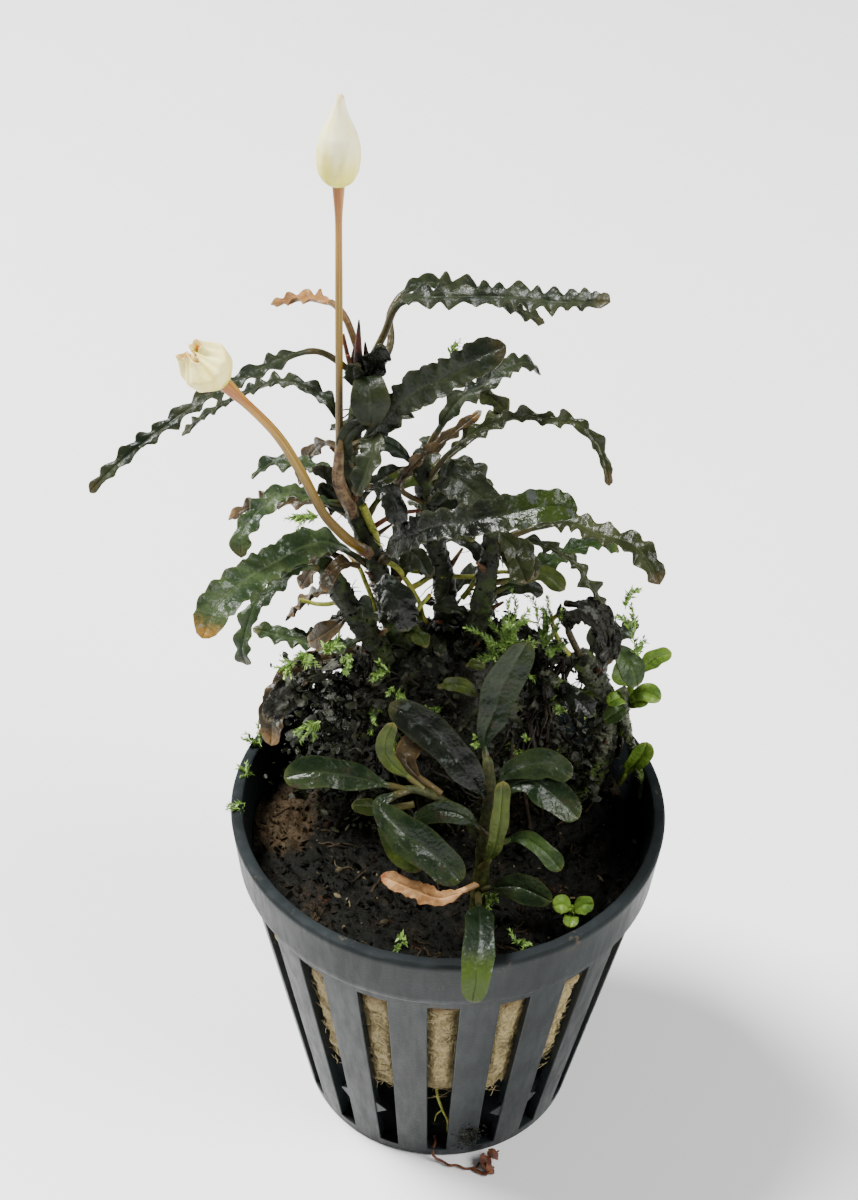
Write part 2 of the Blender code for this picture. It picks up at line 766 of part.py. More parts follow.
    # Round the back and the pot's edge
    leaf(
        "leaf_brown_edge", "root_mass",
        [(-4, 6, 58), (-10.5, 9, 61), (-15, 8.5, 61), (-19, 6.5, 59.5), (-21, 4.5, 56), (-21.3, 3, 52)],
        3.6, brown, 0.2, 0.1, 0.6,
    )
    leaf(
        "leaf_back_left", "root_mass",
        [(-3, 6, 60), (-7, 13, 63), (-11, 18, 61), (-15, 22, 55)],
        4.4, dark, 0.2, 0.1, -0.4,
    )
    leaf(
        "leaf_back_middle", "root_mass",
        [(0, 6, 58), (1, 13, 61.5), (2, 18, 61), (2.5, 24, 56)],
        4.4, dark, 0.2, 0.1, -0.4,
    )
    leaf(
        "leaf_back_right", "root_mass",
        [(1, 5, 52), (7, 12, 56), (11, 16, 57), (14.5, 20, 52)],
        4.0, dark, 0.2, 0.1, -0.4,
    )


def make_side_stem():
    """The thin shoot that arches left from the front sprout."""
    stem(
        "sprout_side_stem",
        [(4, -11, 51), (1, -11, 56), (-3, -12, 60), (-6, -12.3, 60.5)],
        0.6, 0.5, "sprout_stem", "leaf_olive", 0.06,
    )


# Flowers


def make_flowers():
    upright = [(-11, 6, 84), (-13, 4.4, 90), (-13, 4.6, 95), (-13, 5.4, 108.5), (-13, 6, 123.5)]
    stem("flower_stalk_upright", upright, STALK_RADIUS, STALK_RADIUS, "rhizome_crown", "stalk", 0)
    top = upright[-1]
    base = top[2] + GAP
    profile = [
        (0, base + SPATHE_HEIGHT),
        (0.35, base + 0.9 * SPATHE_HEIGHT),
        (0.48 * SPATHE_RADIUS, base + 0.76 * SPATHE_HEIGHT),
        (0.85 * SPATHE_RADIUS, base + 0.56 * SPATHE_HEIGHT),
        (SPATHE_RADIUS, base + 0.34 * SPATHE_HEIGHT),
        (0.92 * SPATHE_RADIUS, base + 0.14 * SPATHE_HEIGHT),
        (0.5 * SPATHE_RADIUS, base + 0.02 * SPATHE_HEIGHT),
        (0.2 * SPATHE_RADIUS, base),
        (0, base),
    ]
    bud = turned("spathe_upright", profile, SPATHE_STEPS, "spathe")
    bud.location = (top[0] * MM, top[1] * MM, 0)

    leaning = [(-9.5, 5.5, 79.5), (-11.3, 1.5, 84), (-13, -0.5, 87.5), (-14.5, -2, 91)]
    leaning += [(-16.5, -4, 97.5), (-19, -5.5, 103.5), (-23.5, -7, 110)]
    stem("flower_stalk_leaning", leaning, 0.6, 0.5, "rhizome_crown", "stalk", 0)
    cup = turned("spathe_leaning", cup_profile(), SPATHE_STEPS, "spathe")
    end, before = Vector(leaning[-1]), Vector(leaning[-2])
    along = (end - before).normalized()
    cup.location = (end + along * GAP) * MM
    cup.rotation_mode = "QUATERNION"
    cup.rotation_quaternion = Vector((0, 0, 1)).rotation_difference(along)


def cup_profile():
    """An open cup with its mouth up; the inside comes first and the outside runs down."""
    inside, outside = [], []
    for share, radius in ((0.12, 0.45), (0.35, 0.92), (0.65, 1.0), (1.0, 0.78)):
        outside.append((CUP_RADIUS * radius, CUP_LENGTH * share))
        inside.append((CUP_RADIUS * radius - CUP_WALL, CUP_LENGTH * share + (share < 1) * CUP_WALL / 2))
    floor = (0, CUP_LENGTH * 0.12 + CUP_WALL / 2)
    return [floor] + inside + outside[::-1] + [(0.16 * CUP_RADIUS, 0), (0, 0)]


# Small leafy growths, each fused to its own stem


def small_growth(name, stem_points, radius, leaflets, colour):
    """A short stem with leaflets joined to it: each leaflet is (points, width)."""
    helpers = bpy.data.collections.new(name + "_leaflets")
    CUTTERS.children.link(helpers)
    route = smooth_route(stem_points)
    rings = []
    points = resampled(route, max(3, round(route_length(route) / (2.5 * MM))))
    for i, point in enumerate(points):
        along = (points[min(i + 1, len(points) - 1)] - points[max(i - 1, 0)]).normalized()
        side = along.cross(Vector((0, 1, 0))).normalized()
        front = along.cross(side)
        turns = [math.tau * k / 6 for k in range(6)]
        rings.append(
            [point + (side * math.cos(a) + front * math.sin(a)) * radius * MM for a in turns]
        )
    body = lofted(name, rings, colour)
    for i, (leaflet_points, width) in enumerate(leaflets):
        rings = leaf_points(smooth_route(leaflet_points), width, 0.12, 0.0, 1.0)
        lofted(f"{name}_leaflet_{i}", rings, colour, helpers)
    join = body.modifiers.new("leaflets", "BOOLEAN")
    join.operation = "UNION"
    join.solver = "EXACT"
    join.operand_type = "COLLECTION"
    join.collection = helpers


def make_growths():
    small_growth(
        "right_sprout",
        [(20.8, 8, 51), (21, 8, 55.5), (21.3, 7.6, 59), (21.8, 7, 62)],
        0.6,
        [
            ([(21.3, 7.6, 59), (20, 6, 62), (19.5, 5.5, 65)], 2.6),
            ([(21.8, 7, 61.5), (23.5, 7, 64), (25.5, 7, 65)], 2.2),
            ([(21, 8, 56.5), (19.6, 6.5, 59), (19.2, 6, 61.5)], 2.4),
            ([(21.2, 7.8, 57.5), (23, 6.5, 59), (24.8, 6, 58.5)], 2.4),
            ([(21, 8, 55.5), (22.5, 6.5, 56), (24.5, 6, 55)], 2.2),
        ],
        "leaf_green",
    )
    foot = crust_height(14.5, -14) + GAP
    small_growth(
        "seedling",
        [(14.5, -14, foot), (14.5, -14, foot + 1.5), (14.5, -14.2, foot + 3)],
        0.5,
        [
            ([(14.4, -14.2, foot + 2.5), (13.3, -14.4, foot + 3.6), (12.2, -14.7, foot + 3.5)], 2.2),
            ([(14.6, -14.1, foot + 1.9), (15.8, -14.1, foot + 3.2), (17, -14, foot + 3.3)], 2.3),
            ([(14.5, -14.3, foot + 1.3), (14.4, -15.3, foot + 2.2), (14.2, -16.5, foot + 2)], 2.0),
        ],
        "leaf_green",
    )


make_pot()
make_rockwool()
make_crust()
make_root_mass()
make_stems()
make_side_stem()
make_leaves()
make_flowers()
make_growths()
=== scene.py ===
"""The looks of the potted bucephalandra: fine leaves, stems, moss, roots, soil, pot and flowers.

Lengths in the tables are millimetres, in the frame's own axes: the origin is the centre of the
pot's underside and +Z is up. Every piece rides on the frame's one body, and the solids that a
piece replaces are hidden.
"""

import math
from collections import namedtuple

import bpy
import numpy as np
from mathutils import Matrix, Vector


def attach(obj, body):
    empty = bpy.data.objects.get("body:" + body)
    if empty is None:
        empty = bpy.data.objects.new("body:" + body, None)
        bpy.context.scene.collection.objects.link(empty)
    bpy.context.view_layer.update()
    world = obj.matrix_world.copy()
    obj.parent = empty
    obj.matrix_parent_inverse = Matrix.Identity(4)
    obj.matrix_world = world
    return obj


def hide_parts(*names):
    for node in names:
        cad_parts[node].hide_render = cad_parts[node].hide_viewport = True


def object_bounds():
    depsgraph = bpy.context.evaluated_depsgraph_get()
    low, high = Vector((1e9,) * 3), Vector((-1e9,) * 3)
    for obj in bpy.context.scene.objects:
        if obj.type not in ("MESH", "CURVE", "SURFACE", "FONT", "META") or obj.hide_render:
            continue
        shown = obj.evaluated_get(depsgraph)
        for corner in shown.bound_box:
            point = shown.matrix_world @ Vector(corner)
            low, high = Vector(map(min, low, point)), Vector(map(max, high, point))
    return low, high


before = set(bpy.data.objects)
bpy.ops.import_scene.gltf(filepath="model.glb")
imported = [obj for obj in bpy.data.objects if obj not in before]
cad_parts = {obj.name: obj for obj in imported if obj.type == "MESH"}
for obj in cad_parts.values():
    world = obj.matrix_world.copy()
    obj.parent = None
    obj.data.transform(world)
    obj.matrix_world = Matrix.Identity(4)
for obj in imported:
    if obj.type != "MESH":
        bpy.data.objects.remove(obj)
cad_low, cad_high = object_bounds()

MM = 0.001
EDGE_ROOM = 0.02  # how far inside the solid model's box the fine shapes stay

# The pot and its filling, as the solids have them
RIM_RADIUS, RIM_WIDTH = 26.0, 1.4
RIM_BAND_HEIGHT, RIM_BAND_DRAFT = 7.6, 0.7
POT_HEIGHT = 47.0
BAND_LOW = POT_HEIGHT - RIM_BAND_HEIGHT
BODY_TOP_RADIUS, BASE_RADIUS = 24.5, 17.5
WALL = 1.2
SLOT_COUNT = 18
SLOT_TURN = math.tau / SLOT_COUNT
FRONT_TURN = -math.pi / 2
SLOT_LOW, SLOT_HIGH = 1.8, 37.5
SLOT_WIDTH_LOW, SLOT_WIDTH_HIGH = 2.4, 3.7
SLOT_TAB_LOW, SLOT_TAB_HIGH, SLOT_TAB_POINT = 8.2, 11.2, 9.8
WOOL_LOW, WOOL_HIGH = 15.0, 39.0
WOOL_GAP, WOOL_PUFF = 0.5, 0.9  # from the wall, and out again at a slot
CRUST_TOP = 40.9

# Leaves
BLADE_THICKNESS = 0.34
PETIOLE_RADIUS = 0.42
FACE_HEADING = 0.45  # how much a blade's middle also faces the way the leaf runs
WAVE_LENGTH = 2.3  # from one ruffle of the margin to the next, on average
RUFFLE_DEPTH = 1.15  # millimetres up and down for a ruffle of 1
NARROW_WIDTH = 3.2  # a blade below this width has deeper lobes
LOBE_NARROW, LOBE_BROAD = 0.36, 0.24  # how far a lobe of 1 stands out of the margin
FINE_LOBE, FINE_LOBE_LENGTH = 0.12, 1.3
CALM_RUFFLE = 0.2  # at most this much ruffle leaves a margin with long, even waves
ROW_SPACING = 0.27

# Stems, roots and the small things on them
STEM_ROW_SPACING = 0.22
RHIZOME_COUNT = 5  # the first of the stems
TUBE_UP = (0.3, 0.2, 1.0)  # the way from which the points round a tube are counted
CRUMBS_A_STEM, HAIRS_A_STEM = 340, 34
MASS_CRUMBS, MASS_SCRAPS, MASS_ROOTS, TANGLE_ROOTS = 3200, 420, 210, 26
FUZZ_A_ROOT = 500
SOIL_GRAINS, SOIL_THREADS = 4600, 70
WOOL_FIBRES = 1500
DIRT_GRAINS = 420
MASS_LOW, MASS_HIGH = 41.5, 68.5
ROOT_FLOOR = 41.5  # no root runs below this height
SCRAP_THICKNESS = 0.14
FLOOR_GAP = 0.02

# The photograph's camera
CAMERA_PLACE = (-3.0, -170.0, 217.8)
CAMERA_DOWN = 39.5
CAMERA_ROLL = 1.66
FOCAL_PIXELS = 2003.0
FRAME_PIXELS = 1200.0
SENSOR = 36.0
LIGHT_TARGET = (0, 0, 0.06)  # metres, as are the lights' places


# Shapes are gathered as points in millimetres, faces and surface coordinates


class Shape:
    """Points with surface coordinates (across, along, shade) and the faces between them."""

    def __init__(self):
        self.points, self.coords, self.faces, self.count = [], [], [], 0

    def add(self, points, faces, across=0.0, along=0.0, shade=0.0):
        """Adds points, as a list or a grid. The surface coordinates are numbers or fit the grid."""
        points = np.asarray(points, float)
        coords = np.zeros(points.shape)
        coords[..., 0], coords[..., 1], coords[..., 2] = across, along, shade
        self.points.append(points.reshape(-1, 3))
        self.coords.append(coords.reshape(-1, 3))
        self.faces.extend((np.asarray(faces) + self.count).tolist())
        self.count += len(self.points[-1])

    def add_rings(self, rings, across=0.0, along=0.0, shade=0.0, flip=False):
        """Adds a closed body: a skin over the rings of points and a face at each end."""
        rows, columns = rings.shape[:2]
        low = list(range(self.count, self.count + columns))
        self.add(rings, grid_faces(rows, columns, True, flip), across, along, shade)
        high = list(range(self.count - columns, self.count))
        self.faces += [low, high[::-1]] if flip else [low[::-1], high]


def piece(name, shape, finish, replaces=(), sharp=50):
    """Makes one object of the shape. It rides on the frame and stands for the named solids."""
    points, coords = np.concatenate(shape.points), np.concatenate(shape.coords)
    low, high = np.array(cad_low) / MM + EDGE_ROOM, np.array(cad_high) / MM - EDGE_ROOM
    low[2] = 0.0
    mesh = bpy.data.meshes.new(name)
    mesh.from_pydata((np.clip(points, low, high) * MM).tolist(), [], shape.faces)
    corners = np.empty(len(mesh.loops), np.int32)
    mesh.loops.foreach_get("vertex_index", corners)
    layer = mesh.uv_layers.new(name="surface")
    layer.uv.foreach_set("vector", coords[corners, :2].astype(np.float32).ravel())
    shade = mesh.attributes.new("shade", "FLOAT", "POINT")
    shade.data.foreach_set("value", coords[:, 2].astype(np.float32))
    mesh.materials.append(FINISHES[finish])
    mesh.validate()
    mesh.shade_smooth()
    mesh.set_sharp_from_angle(angle=math.radians(sharp))
    obj = linked(name, mesh)
    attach(obj, "root")
    if replaces:
        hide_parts(*replaces)
    return obj


def linked(name, data):
    obj = bpy.data.objects.new(name, data)
    bpy.context.scene.collection.objects.link(obj)
    return obj


def field(points, size, seed, octaves=3):
    """A smooth random value of about -1 to 1 at each point, varying over the given size."""
    draws = np.random.default_rng(seed)
    points = np.asarray(points, float)
    total, weight, weights = 0.0, 1.0, 0.0
    for octave in range(octaves):
        ways = draws.normal(size=(7, 3)) * 2.2 / size * 2**octave
        phases = draws.uniform(0, math.tau, 7)
        total = total + weight * np.sin(points @ ways.T + phases).sum(-1) / 2.6
        weights += weight
        weight *= 0.55
    return total / weights


def unit(vectors):
    return vectors / np.maximum(np.linalg.norm(vectors, axis=-1, keepdims=True), 1e-9)


def eased(values, low, high):
    """0 below low, 1 above high, and smooth between them."""
    share = np.clip((np.asarray(values, float) - low) / (high - low), 0, 1)
    return share * share * (3 - 2 * share)


def outward(turn, rise=0.0):
    """The level way out from the middle at this turn about Z, with some rise."""
    return np.array([math.cos(turn), math.sin(turn), rise])


def polar(radius, turn, height):
    return np.stack(np.broadcast_arrays(radius * np.cos(turn), radius * np.sin(turn), height), -1)


def turns_of(columns):
    return (np.arange(columns) * math.tau / columns)[None, :]


def smooth_route(points, steps=24):
    """A Catmull-Rom curve through the points."""
    knots = np.asarray(points, float)
    knots = np.vstack([2 * knots[0] - knots[1], knots, 2 * knots[-1] - knots[-2]])
    t = (np.arange(steps) / steps)[:, None]
    parts = []
    for a, b, c, d in zip(knots, knots[1:], knots[2:], knots[3:]):
        bend = (2 * a - 5 * b + 4 * c - d) * t**2 + (3 * b - a - 3 * c + d) * t**3
        parts.append(0.5 * (2 * b + (c - a) * t + bend))
    return np.vstack(parts + [knots[-2:-1]])


def steps_of(route):
    return np.linalg.norm(np.diff(route, axis=0), axis=1)


def resampled(route, count):
    """This many points, evenly spaced along the route."""
    lengths = np.concatenate([[0], np.cumsum(steps_of(route))])
    targets = np.linspace(0, lengths[-1], count)
    return np.stack([np.interp(targets, lengths, route[:, k]) for k in range(3)], -1)


def curve(points, count):
    """This many points, evenly spaced along a smooth curve through the given ones."""
    return resampled(smooth_route(points), count)


def wobbled(spine, depth, size, seeds):
    return spine + depth * np.stack([field(spine, size, seed, 1) for seed in seeds], -1)


def frames_along(points, up=TUBE_UP):
    """(along, up, side) at each point. The middle's up is the one given, carried to both ends."""
    along = unit(np.gradient(points, axis=0))
    ups = np.zeros_like(points)
    middle = len(points) // 2

    def square_to(vector, line):
        return unit(vector - vector.dot(line) * line)

    ups[middle] = square_to(np.asarray(up, float), along[middle])
    for i in range(middle + 1, len(points)):
        ups[i] = square_to(ups[i - 1], along[i])
    for i in range(middle - 1, -1, -1):
        ups[i] = square_to(ups[i + 1], along[i])
    return along, ups, np.cross(along, ups)


def grid_faces(rows, columns, closed=False, flip=False):
    """Quads between neighbouring rows of points. Closed joins the last column to the first."""
    i = np.arange(rows - 1)[:, None] * columns
    j = np.arange(columns if closed else columns - 1)[None, :]
    after = (j + 1) % columns
    quads = np.stack([i + j, i + after, i + columns + after, i + columns + j], -1).reshape(-1, 4)
    return quads[:, ::-1] if flip else quads


def add_tube(shape, points, radii, sides=8, shade=0.5, swell=None, laid=None):
    """A round tube along the points. Swell(angles, rows) scales its radius.

    Laid holds its own surface coordinates (across, along), where they aren't the turn and the share.
    """
    points = np.asarray(points, float)
    rows = len(points)
    _, ups, across = frames_along(points)
    turn = turns_of(sides)
    share = np.arange(rows)[:, None] / (rows - 1)
    radii = np.broadcast_to(np.asarray(radii, float), rows)[:, None]
    if swell:
        radii = radii * swell(turn, share)
    ring = across[:, None] * np.cos(turn)[..., None] + ups[:, None] * np.sin(turn)[..., None]
    rings = points[:, None] + ring * np.broadcast_to(radii, (rows, sides))[..., None]
    shape.add_rings(rings, *(laid or (turn / math.tau, share)), shade, flip=True)


def skin_spots(spine, radii, count, last_row, furthest, draws):
    """Random spots on a tube: their rows, their ways out and their places."""
    _, ups, across = frames_along(spine)
    rows, turns = draws.integers(0, last_row, count), draws.uniform(0, math.tau, count)
    out = across[rows] * np.cos(turns)[:, None] + ups[rows] * np.sin(turns)[:, None]
    return rows, out, spine[rows] + out * (radii[rows] * draws.uniform(0.95, furthest, count))[:, None]


# Materials: node graphs only, driven by the object's own coordinates, its surface coordinates
# (across and along each piece) and its shade


class Finish:
    """A Principled material and short ways to build what feeds it. Sizes are in millimetres."""

    def __init__(self, name, **constants):
        self.material = bpy.data.materials.new(name)
        self.material.use_nodes = True
        self.tree = self.material.node_tree
        self.tree.nodes.clear()
        self.shader = self.node("BsdfPrincipled", {k.replace("_", " "): v for k, v in constants.items()})
        self.node("OutputMaterial", {"Surface": self.shader.outputs[0]})
        self.place = self.node("TexCoord").outputs["Object"]

    def put(self, socket, value):
        if isinstance(value, bpy.types.NodeSocket):
            self.tree.links.new(value, socket)
        elif socket.type == "RGBA":
            socket.default_value = (*value, 1.0)
        else:
            socket.default_value = value

    def node(self, kind, inputs=None, **settings):
        """A new node with these settings. Its inputs, by name or number, are linked or set."""
        node = self.tree.nodes.new("ShaderNode" + kind)
        for setting, value in settings.items():
            setattr(node, setting, value)
        for socket, value in (inputs or {}).items():
            self.put(node.inputs[socket], value)
        return node

    def noise(self, size, detail=3.0, rough=0.6, stretch=None):
        place = self.place
        if stretch:
            place = self.node("Mapping", {"Scale": stretch, "Vector": place}).outputs[0]
        inputs = {"Scale": 1000.0 / size, "Detail": detail, "Roughness": rough, "Vector": place}
        return self.node("TexNoise", inputs).outputs["Fac"]

    def streaks(self, around, along):
        """Noise drawn out along a round piece, finer for a larger around."""
        across, length = self.surface()
        turn = self.times(across, math.tau)
        place = self.node("CombineXYZ", {0: self.math("COSINE", turn), 1: self.math("SINE", turn),
                                         2: self.times(length, along)}).outputs[0]
        return self.node("TexNoise", {"Scale": around, "Detail": 3.0, "Vector": place}).outputs["Fac"]

    def height(self):
        return self.node("SeparateXYZ", {0: self.place}).outputs[2]

    def cells(self, size):
        return self.node("TexVoronoi", {"Scale": 1000.0 / size, "Vector": self.place}).outputs["Distance"]

    def surface(self):
        """(across, along) of the piece's surface coordinates."""
        coords = self.node("UVMap", uv_map="surface").outputs[0]
        return self.node("SeparateXYZ", {0: coords}).outputs[:2]

    def shade(self):
        return self.node("Attribute", attribute_name="shade").outputs["Fac"]

    def math(self, operation, *values):
        return self.node("Math", dict(enumerate(values)), operation=operation).outputs[0]

    def times(self, first, second):
        return self.math("MULTIPLY", first, second)

    def wavered(self, value, noise, depth):
        """The value, moved up and down by the noise."""
        return self.math("ADD", value, self.times(self.math("SUBTRACT", noise, 0.5), depth))

    def band(self, value, low, high, to_low=0.0, to_high=1.0):
        """Eases from to_low to to_high as the value goes from low to high."""
        inputs = {0: value, 1: low, 2: high, 3: to_low, 4: to_high}
        return self.node("MapRange", inputs, interpolation_type="SMOOTHSTEP").outputs[0]

    def spread(self, noise, to_low, to_high):
        """The noise's usual range, eased from to_low to to_high."""
        return self.band(noise, 0.3, 0.7, to_low, to_high)

    def mix(self, share, first, second):
        return self.node("Mix", {0: share, 6: first, 7: second}, data_type="RGBA").outputs[2]

    def done(self, colour, roughness, relief=None, depth=0.0):
        """The finished material, with fine relief of about the given depth."""
        self.put(self.shader.inputs["Base Color"], colour)
        self.put(self.shader.inputs["Roughness"], roughness)
        if relief:
            bump = self.node("Bump", {"Distance": depth * MM, "Height": relief}).outputs[0]
            self.put(self.shader.inputs["Normal"], bump)
            self.put(self.shader.inputs["Coat Normal"], bump)
        return self.material


STALK_BROWN = (0.07, 0.05, 0.018)


def leaf_finish(name, dark, light, edge, tip, under, roughness=(0.32, 0.52), margin=0.6, tip_share=0.9,
                blotch=None, blotch_share=0.0, relief=0.08, tip_reach=0.09):
    """A glossy blade: mottled top with a pale midrib, coloured margin and tip, paler underside."""
    f = Finish(name, Specular_IOR_Level=0.17, Coat_Weight=0.03, Coat_Roughness=0.06)
    across, along = f.surface()
    off_rib = f.times(f.math("ABSOLUTE", f.math("SUBTRACT", across, 0.5)), 2.0)
    coarse, fine = f.noise(3.4, 4.0), f.noise(0.5, 3.0)
    colour = f.mix(f.band(coarse, 0.35, 0.66), dark, light)
    speck = f.times(f.band(f.cells(0.32), 0.3, 0.08, 0.0, 0.3), f.band(fine, 0.45, 0.7))
    colour = f.mix(speck, colour, [c * 2.4 + 0.012 for c in light])
    rib = f.band(off_rib, 0.14, 0.02, 0.0, 0.35)
    colour = f.mix(rib, colour, [c * 1.8 + 0.008 for c in light])
    colour = f.mix(f.band(f.wavered(off_rib, coarse, 0.5), 0.78, 1.04, 0.0, margin), colour, edge)
    tip_end = min(tip_share + tip_reach, 1.0)
    colour = f.mix(f.band(f.wavered(along, fine, 0.12), tip_share, tip_end), colour, tip)
    # Pale blotches: dead spots on most leaves; on the mid-green and brown-tipped leaves they are painted
    # glints.
    if blotch:
        dead = f.band(f.noise(2.2, 5.0, 0.7), 0.62 - blotch_share, 0.68 - blotch_share)
        colour = f.mix(dead, colour, blotch)
    colour = f.mix(f.band(f.shade(), 0.55, 0.45), colour, under)
    stalk = [0.5 * (a + b) for a, b in zip(under, STALK_BROWN)]
    colour = f.mix(f.band(along, 0.02, -0.03), colour, stalk)
    dents = f.math("ADD", f.noise(0.45, 3.0), f.times(f.cells(0.5), 0.6))
    return f.done(colour, f.spread(f.noise(1.1, 4.0), *roughness), dents, relief)


def bark_finish(name, dark, light, accent, roughness=(0.3, 0.6), accent_share=0.62, grain=0.8, **constants):
    """Stems, roots and litter: two mottled colours, a rarer third, darker where shade is low."""
    f = Finish(name, Specular_IOR_Level=0.2, **constants)
    coarse, fine = f.noise(2.4, 4.0, 0.65), f.noise(grain, 4.0, 0.7)
    colour = f.mix(f.band(fine, 0.35, 0.68), dark, light)
    colour = f.mix(f.band(coarse, accent_share - 0.05, accent_share + 0.06, 0.0, 0.85), colour, accent)
    colour = f.mix(f.band(f.shade(), 0.0, 1.0, 0.45, 0.0), colour, [0.5 * c for c in dark])
    return f.done(colour, f.spread(coarse, *roughness), f.noise(0.28, 4.0, 0.7), 0.12)


def spathe_finish(name, low, high, foot, foot_reach):
    """Cream petal, yellow-green at the foot, a little brown at the tip and on torn edges."""
    f = Finish(name, Specular_IOR_Level=0.25, Subsurface_Weight=0.2, Subsurface_Scale=0.001)
    along = f.surface()[1]
    streak = f.noise(1.6, 3.0, 0.6, (1, 1, 0.22))
    colour = f.mix(f.spread(streak, 0.0, 1.0), low, high)
    base = f.wavered(along, streak, 0.3)
    colour = f.mix(f.band(base, foot_reach, 0.08, 0.0, 0.95), colour, foot)
    colour = f.mix(f.band(base, 0.16, -0.02), colour, (0.36, 0.42, 0.03))
    colour = f.mix(f.band(along, 0.93, 1.0, 0.0, 0.6), colour, (0.62, 0.42, 0.18))
    colour = f.mix(f.band(f.shade(), 0.1, 0.9, 0.0, 0.35), colour, (0.85, 0.74, 0.34))
    return f.done(colour, f.spread(f.noise(0.9), 0.4, 0.6), f.noise(0.5, 3.0, 0.6, (1, 1, 0.3)), 0.05)


def stalk_finish():
    """The flower stalks: golden tan with darker lines, redder towards the flower."""
    f = Finish("flower_stalk_tan", Specular_IOR_Level=0.35, Subsurface_Weight=0.06, Subsurface_Scale=0.0008)
    along = f.surface()[1]
    lines = f.streaks(2.2, 2.0)
    colour = f.mix(f.band(lines, 0.38, 0.62), (0.24, 0.14, 0.014), (0.44, 0.27, 0.038))
    colour = f.mix(f.band(along, 1.0, 0.35, 0.0, 0.9), colour, (0.065, 0.036, 0.003))
    reddening = f.times(f.band(along, 0.66, 0.98, 0.0, 0.8), f.band(lines, 0.62, 0.4, 0.4, 1.0))
    colour = f.mix(reddening, colour, (0.28, 0.08, 0.028))
    colour = f.mix(f.band(f.cells(0.5), 0.14, 0.04, 0.0, 0.6), colour, (0.08, 0.035, 0.012))
    return f.done(colour, f.spread(f.noise(0.8), 0.3, 0.48), lines, 0.06)


def moss_finish():
    f = Finish("moss_green", Specular_IOR_Level=0.4)
    colour = f.mix(f.shade(), (0.08, 0.16, 0.024), (0.26, 0.4, 0.09))
    colour = f.mix(f.band(f.noise(5.0), 0.6, 0.72, 0.0, 0.5), colour, (0.2, 0.21, 0.06))
    return f.done(colour, f.spread(f.noise(0.4), 0.35, 0.6))


def soil_finish():
    """Dark wet grit with tan patches at the front left and reddish-brown bits."""
    f = Finish("soil_grit", Specular_IOR_Level=0.08)
    grit, coarse = f.noise(0.35, 4.0, 0.75), f.noise(5.5, 4.0, 0.6)
    colour = f.mix(f.band(grit, 0.3, 0.72), (0.0014, 0.0015, 0.001), (0.006, 0.006, 0.004))
    tan = f.times(f.band(coarse, 0.54, 0.7, 0.0, 0.35), f.band(f.noise(0.6, 3.0), 0.35, 0.6))
    tan = f.math("MAXIMUM", tan, f.times(f.surface()[1], f.band(grit, 0.3, 0.62, 0.1, 0.9)))
    colour = f.mix(tan, colour, (0.05, 0.032, 0.015))
    red = f.times(f.band(f.noise(3.2, 3.0), 0.6, 0.72), f.band(f.noise(0.45), 0.45, 0.65))
    colour = f.mix(red, colour, (0.04, 0.013, 0.004))
    shade = f.shade()
    colour = f.mix(f.band(shade, 0.6, 1.0, 0.0, 0.45), colour, (0.026, 0.02, 0.011))
    colour = f.mix(f.band(shade, 0.95, 0.98), colour, (0.1, 0.08, 0.045))
    rough = f.band(f.noise(1.0, 4.0, 0.7), 0.35, 0.65, 0.35, 0.75)
    return f.done(colour, rough, f.noise(0.3, 4.0, 0.7), 0.2)


def plastic_finish():
    """Satin black plastic with faint scratches, scuffs and a little dried dirt, dull on its rim."""
    f = Finish("pot_black_plastic", Specular_IOR_Level=0.15)
    coarse, streak = f.noise(9.0, 4.0), f.noise(1.1, 4.0, 0.65, (1, 1, 0.16))
    colour = f.mix(f.band(coarse, 0.35, 0.7), (0.0055, 0.0075, 0.008), (0.011, 0.0145, 0.0155))
    colour = f.mix(f.band(streak, 0.56, 0.75, 0.0, 0.3), colour, (0.02, 0.024, 0.023))
    dirt = f.times(f.band(f.noise(4.0, 5.0, 0.7), 0.62, 0.72), f.band(f.noise(0.5, 4.0), 0.45, 0.6))
    colour = f.mix(f.times(dirt, 0.5), colour, (0.12, 0.09, 0.055))
    top = f.band(f.height(), (POT_HEIGHT - 1) * MM, (POT_HEIGHT - 0.3) * MM, 0.0, 0.3)
    worn = f.math("MAXIMUM", f.times(dirt, 0.3), top)
    rough = f.math("ADD", f.band(streak, 0.3, 0.75, 0.36, 0.52), worn)
    return f.done(colour, rough, f.math("ADD", f.noise(0.3, 3.0), f.times(streak, 0.7)), 0.025)


def wool_finish():
    f = Finish("rockwool_tan", Specular_IOR_Level=0.25)
    fibres, coarse = f.noise(0.3, 4.0, 0.7, (1, 1, 0.5)), f.noise(4.5, 4.0)
    colour = f.mix(f.spread(fibres, 0.0, 1.0), (0.12, 0.088, 0.034), (0.33, 0.265, 0.12))
    colour = f.mix(f.band(coarse, 0.56, 0.72, 0.0, 0.7), colour, (0.06, 0.045, 0.02))
    colour = f.mix(f.band(f.shade(), 0.1, 1.0, 0.0, 0.6), colour, (0.5, 0.42, 0.23))
    height = f.wavered(f.height(), coarse, 0.008)
    colour = f.mix(f.band(height, 33.5 * MM, 36.5 * MM, 0.0, 0.85), colour, (0.1, 0.055, 0.015))
    return f.done(colour, f.spread(fibres, 0.6, 0.85), fibres, 0.25)


def floor_finish():
    f = Finish("studio_floor", Specular_IOR_Level=0.2)
    colour = f.mix(f.noise(60.0, 3.0), (0.80, 0.80, 0.79), (0.84, 0.84, 0.83))
    return f.done(colour, f.spread(f.noise(8.0), 0.6, 0.75))


